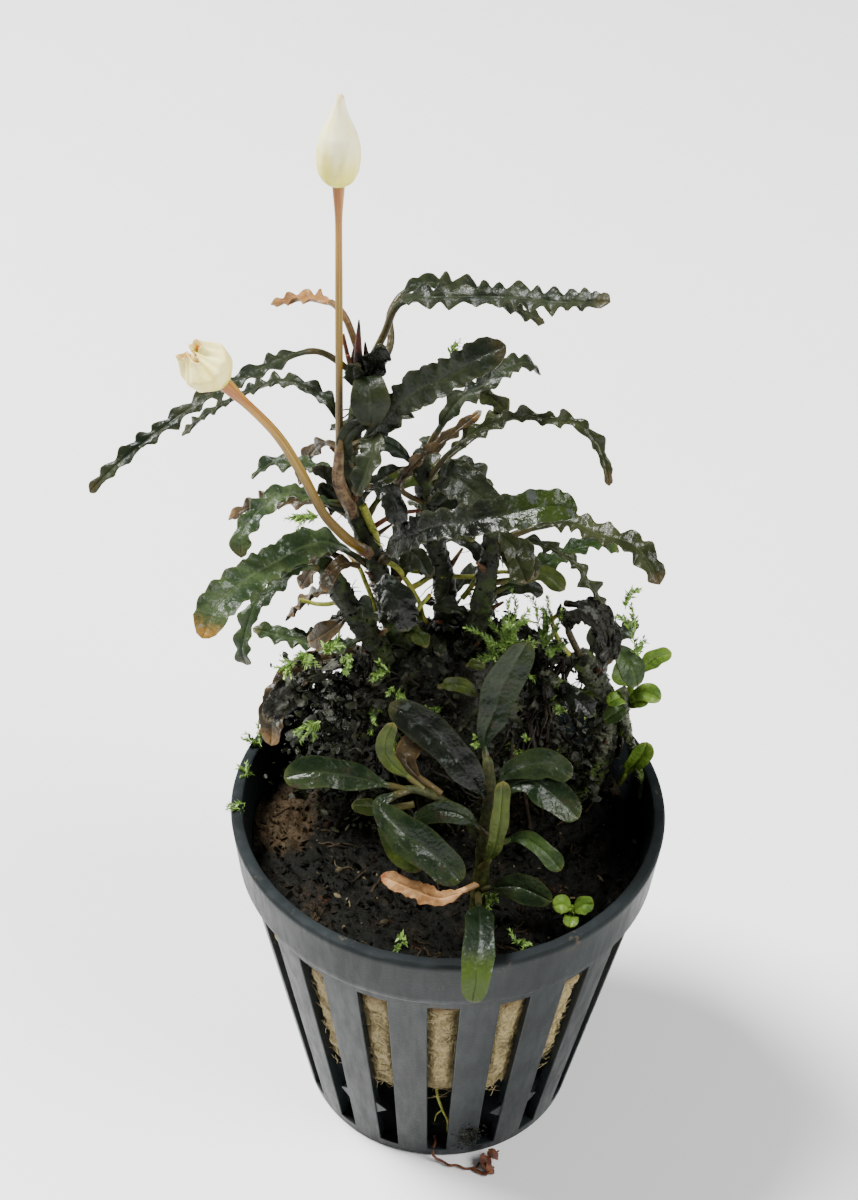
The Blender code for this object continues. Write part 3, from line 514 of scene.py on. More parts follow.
FINISHES = {
    # Leaves: dark, light, margin, tip and underside colours, then what leaf_finish takes after them
    "dark": leaf_finish("leaf_dark", (0.0045, 0.008, 0.003), (0.017, 0.022, 0.0085), (0.03, 0.03, 0.01),
        (0.03, 0.026, 0.01), (0.013, 0.017, 0.006)),
    # The pale grey-green blotches of the mid-green and brown-tipped finishes are painted glints.
    "mid": leaf_finish("leaf_mid_green", (0.012, 0.023, 0.008), (0.036, 0.053, 0.019), (0.045, 0.055, 0.018),
        (0.06, 0.06, 0.02), (0.026, 0.036, 0.012), (0.28, 0.5), 0.6, 0.9, (0.1, 0.12, 0.09), 0.03),
    "tipped": leaf_finish("leaf_brown_tipped", (0.012, 0.023, 0.008), (0.036, 0.053, 0.019),
        (0.045, 0.055, 0.018), (0.2, 0.105, 0.022), (0.026, 0.036, 0.012), (0.28, 0.5), 0.6, 0.9,
        (0.1, 0.12, 0.09), 0.03, 0.08, 0.12),
    "forest": leaf_finish("leaf_forest_green", (0.01, 0.022, 0.004), (0.028, 0.052, 0.01),
        (0.03, 0.045, 0.009), (0.06, 0.07, 0.012), (0.028, 0.045, 0.01)),
    "front": leaf_finish("leaf_front_green", (0.005, 0.011, 0.004), (0.018, 0.027, 0.01),
        (0.022, 0.03, 0.008), (0.03, 0.04, 0.01), (0.014, 0.021, 0.006), (0.16, 0.34), 0.6, 0.9,
        (0.02, 0.017, 0.008), 0.05),
    "black": leaf_finish("leaf_nearly_black", (0.0022, 0.003, 0.002), (0.008, 0.01, 0.006),
        (0.02, 0.022, 0.012), (0.03, 0.03, 0.012), (0.006, 0.007, 0.004), (0.14, 0.34), 0.6, 0.9,
        (0.03, 0.035, 0.03), 0.04),
    "green_tip": leaf_finish("leaf_black_and_green", (0.0022, 0.003, 0.002), (0.009, 0.011, 0.006),
        (0.03, 0.034, 0.018), (0.017, 0.028, 0.0045), (0.006, 0.008, 0.004), (0.16, 0.36), 0.7, 0.62,
        (0.035, 0.04, 0.034), 0.04, 0.08, 0.3),
    "rim": leaf_finish("leaf_over_rim_green", (0.002, 0.005, 0.0015), (0.005, 0.01, 0.0035),
        (0.01, 0.018, 0.004), (0.04, 0.065, 0.008), (0.02, 0.03, 0.01), (0.36, 0.55), 0.6, 0.55,
        (0.1, 0.12, 0.1), 0.0, 0.08, 0.25),
    "olive": leaf_finish("leaf_olive", (0.02, 0.032, 0.005), (0.055, 0.075, 0.012), (0.06, 0.055, 0.012),
        (0.08, 0.075, 0.02), (0.05, 0.055, 0.014)),
    "green": leaf_finish("leaf_fresh_green", (0.05, 0.105, 0.013), (0.13, 0.21, 0.03), (0.12, 0.17, 0.025),
        (0.12, 0.16, 0.02), (0.09, 0.15, 0.02), (0.24, 0.4)),
    "copper": leaf_finish("leaf_copper", (0.1, 0.045, 0.012), (0.25, 0.12, 0.035), (0.17, 0.09, 0.022),
        (0.14, 0.085, 0.02), (0.12, 0.06, 0.022), (0.35, 0.5)),
    "dead": leaf_finish("leaf_dead_tan", (0.3, 0.14, 0.05), (0.7, 0.4, 0.18), (0.34, 0.15, 0.05),
        (0.3, 0.1, 0.04), (0.3, 0.16, 0.07), (0.4, 0.6)),
    "brown": leaf_finish("leaf_brown", (0.014, 0.01, 0.004), (0.05, 0.033, 0.013), (0.09, 0.05, 0.015),
        (0.14, 0.08, 0.025), (0.035, 0.024, 0.01), (0.28, 0.5), 0.6, 0.88, (0.15, 0.15, 0.12), 0.04),
    "crusted": leaf_finish("leaf_crusted", (0.006, 0.006, 0.0045), (0.032, 0.031, 0.022),
        (0.03, 0.028, 0.018), (0.08, 0.065, 0.03), (0.01, 0.009, 0.006), (0.35, 0.65), 0.5, 0.9,
        (0.075, 0.08, 0.065), 0.05, 0.3),
    "pale": leaf_finish("leaf_grey_olive", (0.01, 0.014, 0.004), (0.03, 0.036, 0.013), (0.04, 0.036, 0.012),
        (0.06, 0.045, 0.02), (0.03, 0.034, 0.015), (0.24, 0.38)),
    # Stems and the rest: dark, light and accent colours, or a finish of its own
    "rhizome": bark_finish("rhizome_bark", (0.004, 0.0055, 0.002), (0.018, 0.022, 0.006),
        (0.03, 0.05, 0.008), (0.3, 0.6), 0.54),
    "shoot": bark_finish("shoot_bark", (0.014, 0.018, 0.004), (0.05, 0.055, 0.012), (0.07, 0.05, 0.014)),
    "young": bark_finish("young_stalk", (0.12, 0.14, 0.015), (0.3, 0.31, 0.05), (0.22, 0.1, 0.03),
        Subsurface_Weight=0.15, Subsurface_Scale=0.0008),
    "bract": bark_finish("bract_brown", (0.035, 0.014, 0.007), (0.13, 0.06, 0.025), (0.2, 0.12, 0.045),
        (0.3, 0.5)),
    "root": bark_finish("root_bark", (0.006, 0.0048, 0.0025), (0.026, 0.018, 0.009), (0.06, 0.045, 0.022),
        (0.25, 0.5), 0.64),
    "crust": bark_finish("litter", (0.003, 0.0032, 0.0015), (0.016, 0.0165, 0.008), (0.028, 0.036, 0.01),
        (0.2, 0.6), 0.56, 0.5),
    "scrap": bark_finish("dead_leaf_scraps", (0.004, 0.005, 0.002), (0.018, 0.02, 0.008),
        (0.05, 0.05, 0.036), (0.18, 0.42), 0.6, 0.7),
    "mossy": bark_finish("mossy_root", (0.02, 0.025, 0.013), (0.12, 0.125, 0.08), (0.06, 0.1, 0.015),
        (0.35, 0.6), 0.54, 0.6),
    "crown": bark_finish("crown_sheath", (0.006, 0.005, 0.003), (0.03, 0.012, 0.007), (0.1, 0.022, 0.01),
        (0.2, 0.4), 0.55),
    "spathe": spathe_finish("spathe_cream", (0.97, 0.89, 0.46), (0.99, 0.95, 0.66), (0.76, 0.7, 0.08), 0.72),
    "cup": spathe_finish("spathe_yellow", (0.93, 0.72, 0.2), (0.97, 0.85, 0.38), (0.6, 0.6, 0.06), 0.42),
    "sheath": bark_finish("flower_sheath", (0.06, 0.032, 0.016), (0.22, 0.15, 0.08), (0.13, 0.04, 0.02),
        (0.3, 0.5)),
    "red": bark_finish("red_stalk", (0.05, 0.014, 0.008), (0.16, 0.055, 0.02), (0.2, 0.12, 0.03),
        (0.25, 0.45)),
    "stalk": stalk_finish(),
    "moss": moss_finish(),
    "soil": soil_finish(),
    "plastic": plastic_finish(),
    "wool": wool_finish(),
}


# Leaves

Leaf = namedtuple("Leaf", "name finish width stalk lean ruffle points")

LEAVES = [
    Leaf("leaf_left_long", "dark", 1.8, 0.22, 0.4, 0.5, [(-11, 7.5, 101.5), (-14.5, 6.5, 105), (-17, 5, 106),
        (-20, 2.5, 106), (-25, -1, 105), (-29, -4, 103.5), (-34.5, -7, 100), (-37.5, -8, 97)]),
    Leaf("leaf_left_second", "dark", 1.6, 0.1, 0.4, 0.5, [(-12, 7, 93), (-14, 8, 97.5), (-15.5, 9.5, 98),
        (-18.5, 11, 98.5), (-22, 13, 96.5), (-28, 15, 91.5), (-31.5, 16, 87.5)]),
    Leaf("leaf_copper", "copper", 2.1, 0.5, 0.4, 0.5, [(-10.5, 8, 102), (-12, 9, 106.5), (-13, 10, 108),
        (-14.5, 12, 108), (-17.5, 15, 106.5), (-21, 17, 104.5)]),
    Leaf("leaf_top_right", "dark", 2.6, 0.25, 0.4, 0.5, [(-10.5, 8, 102), (-8.5, 9, 106), (-7.5, 9, 109),
        (-6, 8, 111), (-3, 6, 112.5), (3, 3, 114.5), (9, -1, 116.5), (13.5, -4, 118.5)]),
    Leaf("leaf_top_right_back", "dark", 2.6, 0.4, 0.4, 0.5, [(-11, 7.5, 98.5), (-8, 11, 103),
        (-8, 14, 105.5), (-6, 16, 107.5), (-3, 18, 107), (0.5, 20, 105), (5, 21, 102.5), (9, 22, 100)]),
    Leaf("leaf_top_tongue", "dark", 4.0, 0.2, 1, 0.12, [(-10.5, 8, 101), (-10, 5, 103), (-9.8, 3.5, 102),
        (-9.6, 3, 98.5)]),
    Leaf("leaf_right_broad", "dark", 3.8, 0.1, 0.6, 0.42, [(-11.5, 6.5, 93), (-7.5, 4, 99.5), (-5, 3, 103),
        (-2, 2, 105.5), (1, 1.5, 108), (4, 2, 109.5)]),
    Leaf("leaf_right_behind", "dark", 2.6, 0.2, 0.4, 0.5, [(-4.3, 8.3, 90.5), (-1, 10, 96.5), (2, 12, 98),
        (4.5, 14, 99), (7, 16, 98.5), (8.5, 17, 96.5)]),
    Leaf("leaf_pale_fold", "pale", 2.4, 0.3, 0.4, 0.5, [(-4, 8, 88.5), (1, 12, 91), (4.5, 14, 92.5),
        (4, 15, 94), (1.5, 16, 95)]),
    Leaf("leaf_right_arched", "pale", 1.4, 0.22, 0.4, 0.75, [(-4, 8, 87), (-1.5, 6, 93), (0.5, 5, 96),
        (3, 4, 98.5), (6, 2, 101), (9, 0, 102), (11.5, -2, 103), (13.5, -3, 101.5), (14.5, -4, 99.5),
        (15, -5, 97.5)]),
    Leaf("leaf_thin_folded", "brown", 1.3, 0.3, 0.4, 0.5, [(-3.5, 7.5, 85), (-6.5, 4, 90), (-4.5, 3.5, 94),
        (-1, 5, 96.5), (2, 6.5, 98.5)]),
    Leaf("leaf_right_front", "green_tip", 3.7, 0.15, 0.6, 0.34, [(-9, 5.5, 78), (-6.5, 0, 85.5),
        (-3, -3, 90), (1, -5, 92.5), (5.5, -6, 94.5), (9, -6, 95.5), (12, -5, 94.5)]),
    Leaf("leaf_right_grey", "pale", 2.9, 0.2, 0.4, 0.5, [(4, 4.5, 82.5), (9, 4.5, 85), (12, 4, 86),
        (15, 2, 86), (18.5, -1, 87), (20.5, -3, 85.5), (21.5, -4, 84)]),
    Leaf("leaf_right_green", "forest", 2.3, 0.15, 0.4, 0.5, [(3, 4, 75), (7.5, 4.5, 77.5), (10, 6, 78.5),
        (12.5, 7.5, 79), (15.5, 9, 79.5), (18.5, 10, 77.5)]),
    Leaf("leaf_right_inner", "dark", 4, 0.15, 0.6, 0.38, [(-3.5, 7.5, 85), (-2, 4, 91), (-0.5, 2, 92.5),
        (2, 0, 92), (4.5, -1.5, 90)]),
    Leaf("leaf_mid_drop", "dark", 2.7, 0.25, 1, 0.3, [(-12, 7, 93), (-9.6, 3, 96.8), (-9.3, 1.2, 97),
        (-9.8, -0.2, 95.6), (-11, -1.2, 92.5)]),
    Leaf("leaf_left_broad", "tipped", 4.0, 0.12, 0.6, 0.34, [(-9.5, 5.5, 77.5), (-13.5, 4, 82),
        (-16.5, 1.5, 83.5), (-19.5, -2, 84), (-22.5, -6, 84.5), (-25, -9.5, 84), (-26.5, -12, 81.5)]),
    Leaf("leaf_left_curl", "mid", 2.5, 0.15, 0.4, 0.5, [(-11.5, 6, 85.5), (-14, 5, 87), (-18.5, 3, 89.5),
        (-20.5, 1, 89.5), (-22, -1, 89), (-23, -3, 88), (-23, -4, 86)]),
    Leaf("leaf_left_dry_tip", "brown", 2.4, 0.3, 0.4, 0.5, [(-11, 6, 83.5), (-15, 9, 84), (-18, 11, 82.5),
        (-21.5, 13, 81), (-24, 14, 79), (-26.5, 14.5, 77)]),
    Leaf("leaf_left_hanging", "mid", 2.1, 0.15, 0.4, 0.5, [(-14.5, 2, 79.5), (-16, 0.5, 81.5), (-18, -1, 82),
        (-19.5, -3, 81.5), (-21.5, -5, 80.5), (-22.5, -6, 78), (-23, -7, 75.5), (-22.5, -7, 73.5)]),
    Leaf("leaf_left_low", "mid", 2.4, 0.15, 0.4, 0.5, [(-9.5, 3.2, 70), (-13.5, 5, 66), (-16, 6, 66),
        (-19, 7, 65.5), (-23.5, 8, 66)]),
    Leaf("leaf_left_small", "mid", 2, 0.2, 0.4, 0.5, [(-11.5, 6, 87), (-13.5, 8, 87.5), (-16, 10, 88),
        (-18.5, 12, 87), (-21.5, 13, 86), (-23.5, 13, 84)]),
    Leaf("leaf_brown_clear", "brown", 2.4, 0.35, 1, 0.5, [(-12, 7, 92), (-14, 9.5, 91.5), (-15.5, 11.5, 90),
        (-17, 12.5, 87), (-18, 12, 84)]),
    Leaf("leaf_left_mid_dark", "dark", 2.3, 0.2, 0.4, 0.5, [(-11, 6, 83), (-13.6, 6.8, 86),
        (-15.4, 6.6, 88.2)]),
    Leaf("leaf_dry_low_left", "brown", 2.2, 0.2, 0.4, 0.5, [(-12.5, 2, 76), (-15, 5, 74.5), (-17.5, 7, 71),
        (-19.5, 8, 67.5)]),
    Leaf("leaf_crusted", "crusted", 3.5, 0.3, 1, 0.38, [(15.2, 7.5, 63), (13, 6.3, 69), (13.2, 4, 73),
        (15, 1.8, 73.8), (16.6, 0, 71.8), (17, -1, 68.5)]),
    Leaf("leaf_right_low", "dark", 2.6, 0.2, 0.4, 0.5, [(15.8, 7.8, 61.5), (17, 9, 66), (19.5, 11, 64),
        (22, 12, 65)]),
    Leaf("leaf_right_under", "pale", 3.2, 0.15, 0.8, 0.38, [(4, 4.3, 83), (6, 1, 83.5), (7.5, -2, 82)]),
    Leaf("leaf_front_tongue", "front", 4.2, 0.15, 3, 0.08, [(4.2, -9, 60), (3.7, -6.5, 63), (4.5, -5.5, 66),
        (5.5, -4.5, 70), (8, -3.5, 75)]),
    Leaf("leaf_front_dark", "black", 4, 0.1, 1.2, 0.1, [(4.4, -10.3, 56.5), (2, -10.5, 61.5),
        (-2, -8.5, 65.5), (-7, -6.5, 68)]),
    Leaf("leaf_front_narrow", "olive", 2, 0.2, 3, 0.1, [(-3, -12, 60.3), (-6.8, -10.2, 62.8),
        (-7.4, -9.6, 65), (-6.5, -9, 67.5)]),
    Leaf("leaf_front_round", "brown", 2.6, 0.3, 2, 0.1, [(-1, -11.6, 59.3), (-4, -10.2, 61), (-5, -9, 62.5),
        (-3, -7, 65)]),
    Leaf("leaf_front_left", "front", 3.6, 0.15, 0.8, 0.1, [(-5, -12.3, 60.5), (-11, -11.5, 61.5),
        (-15, -11.5, 62), (-18.5, -11.5, 61)]),
    Leaf("leaf_front_big", "front", 4.4, 0.12, 1.6, 0.1, [(-4.5, -12.2, 60.4), (-7.6, -14, 60),
        (-5.5, -15.5, 57.5), (-2, -16.5, 55), (1.5, -17.5, 51.5)]),
    Leaf("leaf_dead_orange", "dead", 2.2, 0.15, 1, 0.24, [(3.7, -12.2, 45.5), (-0.5, -15, 46),
        (-4, -16, 48.5), (-7.5, -15.5, 50)]),
    Leaf("leaf_front_low_right", "front", 3.4, 0.2, 1.2, 0.1, [(3.7, -12.2, 44.5), (6, -13.5, 46.5),
        (8.5, -14.5, 47.5), (12, -15.5, 46.5)]),
    Leaf("leaf_front_green", "forest", 2.3, 0.3, 1, 0.1, [(4, -11.2, 50), (8, -11, 52), (10.5, -12, 51.5),
        (13, -13, 49)]),
    Leaf("leaf_front_right", "front", 3.8, 0.2, 1, 0.1, [(4.3, -10.5, 56), (8, -9.5, 59.5), (11, -10.5, 59),
        (14.5, -12, 56.5)]),
    Leaf("leaf_over_rim", "rim", 3.4, 0.3, 1, 0.1, [(3.6, -12.3, 44), (3.6, -17, 47.5), (3.6, -23, 50.3),
        (3.4, -27.5, 49), (3, -29, 44.8)]),
    Leaf("leaf_brown_edge", "brown", 3.6, 0.2, 0.6, 0.22, [(-4, 6, 58), (-10.5, 9, 61), (-15, 8.5, 61),
        (-19, 6.5, 59.5), (-21, 4.5, 56), (-21.3, 3, 52)]),
    Leaf("leaf_back_left", "dark", 4.4, 0.2, -0.4, 0.38, [(-3, 6, 60), (-7, 13, 63), (-11, 18, 61),
        (-15, 22, 55)]),
    Leaf("leaf_back_middle", "dark", 4.4, 0.2, -0.4, 0.38, [(0, 6, 58), (1, 13, 61.5), (2, 18, 61),
        (2.5, 24, 56)]),
    Leaf("leaf_back_right", "dark", 4, 0.2, -0.4, 0.38, [(1, 5, 52), (7, 12, 56), (11, 16, 57),
        (14.5, 20, 52)]),
]
# Small leaves that are mesh only
SMALL_LEAVES = [
    Leaf("small_leaf_front_pale", "olive", 2.4, 0.2, 1.4, 0.06, [(-4, -12, 58), (-7, -12.6, 57),
        (-6, -14.5, 53.5), (-3, -16, 51.5)]),
    Leaf("small_leaf_round", "olive", 1.9, 0.35, 1.6, 0.04, [(-5.5, -12.2, 60), (-8, -12, 57.5),
        (-9.5, -12, 57.4), (-11, -12, 57.5)]),
    Leaf("small_leaf_middle", "front", 2.6, 0.2, 1.4, 0.05, [(4.2, -11.5, 53), (2, -12, 56),
        (-1, -12.5, 57.5), (-4, -13, 56.5)]),
    Leaf("small_leaf_right_back", "front", 3.4, 0.2, 1.0, 0.08, [(4.4, -9.5, 57), (6.5, -9, 60.5),
        (10.5, -9, 62), (13.5, -10, 61)]),
    Leaf("small_leaf_upright", "olive", 2.0, 0.2, 3.0, 0.04, [(3.8, -12, 48), (4.9, -13, 51),
        (5.6, -12.4, 56), (5.8, -11, 61)]),
    Leaf("small_leaf_crown_low", "dark", 1.8, 0.2, 0.5, 0.25, [(-11, 6, 84.5), (-13, 6, 88.5),
        (-14.6, 5.6, 90.6), (-16, 5, 91.5)]),
    Leaf("small_leaf_dry_left", "brown", 1.9, 0.15, 1.0, 0.3, [(-12.6, 3.5, 80.5), (-14.8, 4, 80.5),
        (-16.3, 4, 78), (-17.5, 4, 75.5)]),
    Leaf("small_leaf_brown_right", "olive", 2.2, 0.2, 0.8, 0.2, [(3.8, 4, 77), (7, 3.2, 78.6),
        (9.5, 3, 79.5), (12, 2, 78)]),
    Leaf("small_leaf_wavy", "pale", 2.0, 0.2, 0.8, 0.45, [(-3.6, 7.8, 86), (-1.5, 8.6, 89.3), (1, 9.3, 89.2),
        (3.5, 9.5, 85.5)]),
    Leaf("small_leaf_olive", "olive", 2.4, 0.25, 0.7, 0.2, [(-10.5, 6.2, 83), (-8.5, 7.2, 86.5),
        (-5, 8, 88.8), (-2.2, 8.6, 88.6)]),
    Leaf("small_leaf_twisted", "pale", 1.4, 0.15, 0.5, 0.9, [(4, 4.6, 82.5), (9, 5.2, 82), (13, 5, 79.5),
        (15, 4, 77), (17.5, 4, 73)]),
    Leaf("small_leaf_behind_tongue", "dark", 2.2, 0.2, 0.8, 0.2, [(-11.5, 6.6, 90), (-12.6, 5, 94.5),
        (-11.6, 4.6, 97), (-9.5, 4.5, 98.5)]),
    Leaf("small_leaf_left_under", "brown", 1.8, 0.2, 1.0, 0.2, [(-11, 4, 79), (-12.6, 1.4, 81.4),
        (-13.8, 0.2, 80.8), (-14.6, 0, 78.5)]),
    Leaf("small_leaf_black_crumpled", "black", 2.9, 0.2, 2.0, 0.4, [(-10.1, 4, 89.8), (-9, 2.4, 91),
        (-7.6, 0.8, 91.4), (-6.9, 0, 90.2), (-6.9, -0.2, 88)]),
    Leaf("small_leaf_behind_front", "dark", 3.0, 0.15, 0.8, 0.3, [(-3.4, 6.5, 83.9), (-2.3, 6, 86.1),
        (-0.8, 6, 87.5), (0.9, 5.5, 89)]),
    Leaf("small_leaf_grey_drop", "pale", 3.4, 0.15, 0.9, 0.35, [(3.6, 4, 85.3), (5.2, 2, 84.8),
        (6.7, 1, 83.4), (8.6, 0, 81.2)]),
    Leaf("small_leaf_black_hanging", "black", 3.8, 0.12, 1.5, 0.4, [(-9.3, 2, 78), (-7.9, -1, 80),
        (-6.4, -2.2, 79.1), (-5.2, -3, 75.6)]),
    Leaf("small_leaf_striped_dead", "brown", 2.6, 0.1, 1.0, 0.2, [(-11.6, 3, 73.1), (-13.2, 2, 72.1),
        (-15, 2, 70.3), (-16.6, 3, 68.4)]),
    Leaf("small_leaf_in_mass", "olive", 1.7, 0.1, 1.2, 0.1, [(-1.5, -1.5, 66.2), (-0.2, -3.2, 68.2),
        (1.4, -4, 68.6), (2.6, -4.2, 67.5)]),
    Leaf("small_leaf_in_mass_high", "olive", 1.5, 0.1, 1.2, 0.1, [(1.6, -1.6, 69.6), (2.6, -3, 71.2),
        (3.5, -3.8, 71.5)]),
    Leaf("small_leaf_silver_left", "crusted", 3.4, 0.1, 0.8, 0.3, [(-14.6, 6, 56.5), (-17.9, 5, 59),
        (-19.8, 3, 59.6), (-21.6, 1, 57.6)]),
    Leaf("small_leaf_crust_right", "crusted", 3.2, 0.1, 1.2, 0.4, [(12.5, 5.4, 73.3), (15.1, 3.4, 74.5),
        (16.9, 1.4, 72.8), (17.2, -0.2, 69)]),
    Leaf("small_leaf_crown_black", "black", 2.8, 0.1, 1.4, 0.4, [(-10.4, 7.4, 100.5), (-9.6, 6.6, 103),
        (-9, 6, 105.4), (-8.6, 5.6, 107)]),
    Leaf("small_leaf_crown_green", "dark", 2.0, 0.1, 1.0, 0.3, [(-10.8, 7.2, 100), (-11.6, 6, 102.4),
        (-11.6, 5.2, 104.2), (-11, 4.6, 105.2)]),
    Leaf("small_leaf_in_tangle", "black", 2.8, 0.1, 1.6, 0.3, [(12.2, 2, 61.5), (12.9, 1, 63.4),
        (14.5, 0.3, 63), (16.3, -0.3, 61.3)]),
    Leaf("small_leaf_rim_right", "green", 2.6, 0.2, 0.6, 0.05, [(21, 6.4, 44), (21.9, 5.8, 47), (23, 5, 50),
        (23.6, 4.4, 53)]),
]


def outline(t, taper, tip):
    """The half width of a blade as a share of its widest, t running from stalk to tip."""
    rise = 0.14 + 0.86 * np.sin(np.clip(t / taper, 0, 1) * math.pi / 2) ** 1.3
    fall = np.sqrt(np.clip(1 - np.clip((t - 1 + tip) / tip, 0, 1) ** 2.8, 0.003, 1))
    return rise * fall * (0.93 + 0.07 * np.sin(math.pi * t))


def add_sheet(shape, skin, up, thick, across, along):
    """Closes a grid of points into a thin body: top with shade 1, underside with shade 0, edge."""
    rows, columns = skin.shape[:2]
    normals = unit(np.cross(np.gradient(skin, axis=0), np.gradient(skin, axis=1)))
    normals *= np.sign((normals * up).sum(-1, keepdims=True).mean())
    quads = grid_faces(rows, columns)
    rim = list(range(columns)) + [(r + 1) * columns - 1 for r in range(1, rows)]
    rim += [(rows - 1) * columns + c for c in range(columns - 2, -1, -1)]
    rim += [r * columns for r in range(rows - 2, 0, -1)]
    start, under = shape.count, rows * columns
    shape.add(skin + normals * thick / 2, quads, across, along, 1.0)
    shape.add(skin - normals * thick / 2, quads[:, ::-1], across, along, 0.0)
    for here, after in zip(rim, rim[1:] + rim[:1]):
        shape.faces.append([start + under + here, start + under + after, start + after, start + here])


def ruffle(draws, length, place, spacing):
    """A margin's ups and downs, from about -1 to 1: rounded lobes of uneven width and height."""
    count = int(4 * length / spacing) + 8
    knots = np.cumsum(spacing / 2 * draws.uniform(0.5, 1.5, count)) - 2.5 * spacing
    heights = np.where(np.arange(count) % 2, draws.uniform(0.3, 1.1, count), -draws.uniform(0.1, 1.1, count))
    after = np.clip(np.searchsorted(knots, place), 1, count - 1)
    share = np.clip((place - knots[after - 1]) / (knots[after] - knots[after - 1]), 0, 1)
    first, second = heights[after - 1], heights[after]
    low, high = np.minimum(first, second), np.maximum(first, second)
    off_notch = np.where(second > first, share, 1 - share)
    rounded = 0.6 * np.sin(off_notch * math.pi / 2) + 0.4 * (0.5 - 0.5 * np.cos(math.pi * off_notch))
    return low + (high - low) * rounded


def add_leaf(shape, leaf, seed):
    """A ruffled blade with its midrib and stalk."""
    draws = np.random.default_rng(seed)
    route = smooth_route(leaf.points)
    length = steps_of(route).sum()
    rows = int(np.clip(length / ROW_SPACING, 36, 170))
    columns = 2 * int(4.5 + 0.8 * leaf.width) + 1
    spine = resampled(route, rows)
    heading = (spine[-1] - spine[0]) * (1, 1, 0)
    facing = np.array([0, -leaf.lean, 1.0]) + FACE_HEADING * unit(heading)
    _, up, side = frames_along(spine, facing)

    share = np.linspace(0, 1, rows)
    first = int(leaf.stalk * (rows - 1))
    t_all = (share - share[first]) / (1 - share[first])
    t = t_all[first:, None]
    blade_length = length * (1 - share[first])
    taper = np.clip(1.5 * leaf.width / blade_length, 0.12, 0.5)
    tip = np.clip(1.0 * leaf.width / blade_length, 0.08, 0.45)
    a = np.sin(np.linspace(-1, 1, columns) * math.pi / 2) * 0.5
    a = (a + np.linspace(-0.5, 0.5, columns))[None, :]
    edge = np.abs(a)
    calm = np.sin(math.pi * np.clip(t, 0, 0.97) / 0.99) ** 0.35
    half = leaf.width / 2 * outline(t, taper, tip) * (1 + 0.07 * np.sin(t * draws.uniform(9, 15)) * calm)
    half = half * np.ones_like(edge)

    # The margin's waves, each side its own
    ruffled = leaf.ruffle > CALM_RUFFLE
    spacing = WAVE_LENGTH if ruffled else 2.5 * WAVE_LENGTH
    place = t * blade_length - 0.5 * edge * half
    sides = [ruffle(draws, blade_length, place, spacing) for _ in range(2)]
    wave = np.where(a < 0, *sides) * calm
    # Lobes rise on the far margin and dip on the near one, so both look wavy from the front
    narrow = leaf.width < NARROW_WIDTH
    tilted = np.where(a * side[first:, 1].mean() < 0, -wave, wave)
    lobe = (LOBE_NARROW if narrow else LOBE_BROAD) * min(leaf.ruffle / 0.4, 1.2) * (tilted - 0.4)
    if ruffled:
        fine = ruffle(draws, blade_length, place + 3 * np.sign(a), FINE_LOBE_LENGTH)
        lobe = lobe + FINE_LOBE * fine * calm
    half = half + lobe * np.minimum(1, half / 0.8) * edge

    # How far each point lies above the blade's plane: cup, waves, groove, quilting and dents
    inward = 1.7 if narrow else 2.2
    depth = leaf.ruffle * RUFFLE_DEPTH
    lift = 0.16 * half * edge**1.3 + depth * wave * edge**inward * np.minimum(1, half / 0.8)
    lift = lift - 0.12 * np.exp(-((a / 0.09) ** 2)) * np.minimum(1, half)
    quilt = np.sin(math.tau * (blade_length / 0.9 * t - 1.1 * edge * half))
    lift = lift + 0.03 * quilt * np.sin(math.pi * edge) * calm
    skin = spine[first:, None] + side[first:, None] * (a * half)[..., None]
    dents = 0.14 * field(skin, 2.6, seed, 2)
    lift = lift + dents * np.minimum(1, half / 1.5) * calm
    skin = skin + up[first:, None] * lift[..., None]
    if leaf.finish == "crusted":
        crust = 0.3 * field(skin, 1.1, seed, 2) + 0.2 * field(skin * (1, 1, 0.4), 0.35, seed + 1, 2)
        skin = skin + up[first:, None] * (crust * np.minimum(1, half))[..., None]
    thick = (BLADE_THICKNESS * (1 - 0.6 * edge**2) * np.minimum(1, half / 0.4))[..., None]
    add_sheet(shape, skin, up[first:, None], thick, 0.5 + 0.5 * a, t)

    # The stalk runs on under the blade as its midrib
    keep = slice(0, int(0.97 * rows), 2)
    radius = np.where(t_all < 0, PETIOLE_RADIUS, PETIOLE_RADIUS * (0.85 - 0.66 * t_all))
    radius = radius * min(1.0, 0.55 + leaf.width / 6)
    sunk = spine - up * ((radius - 0.03) * eased(t_all, -0.03, 0.12))[:, None]
    add_tube(shape, sunk[keep], radius[keep], laid=(0.5, t_all[keep, None]))


def make_leaves():
    for seed, leaf in enumerate(LEAVES + SMALL_LEAVES):
        shape = Shape()
        add_leaf(shape, leaf, 100 + seed)
        small = leaf.name.startswith("small")
        name = leaf.name if small else leaf.name + "_fine"
        stands_for = () if small else (leaf.name,)
        piece(name, shape, leaf.finish, stands_for)


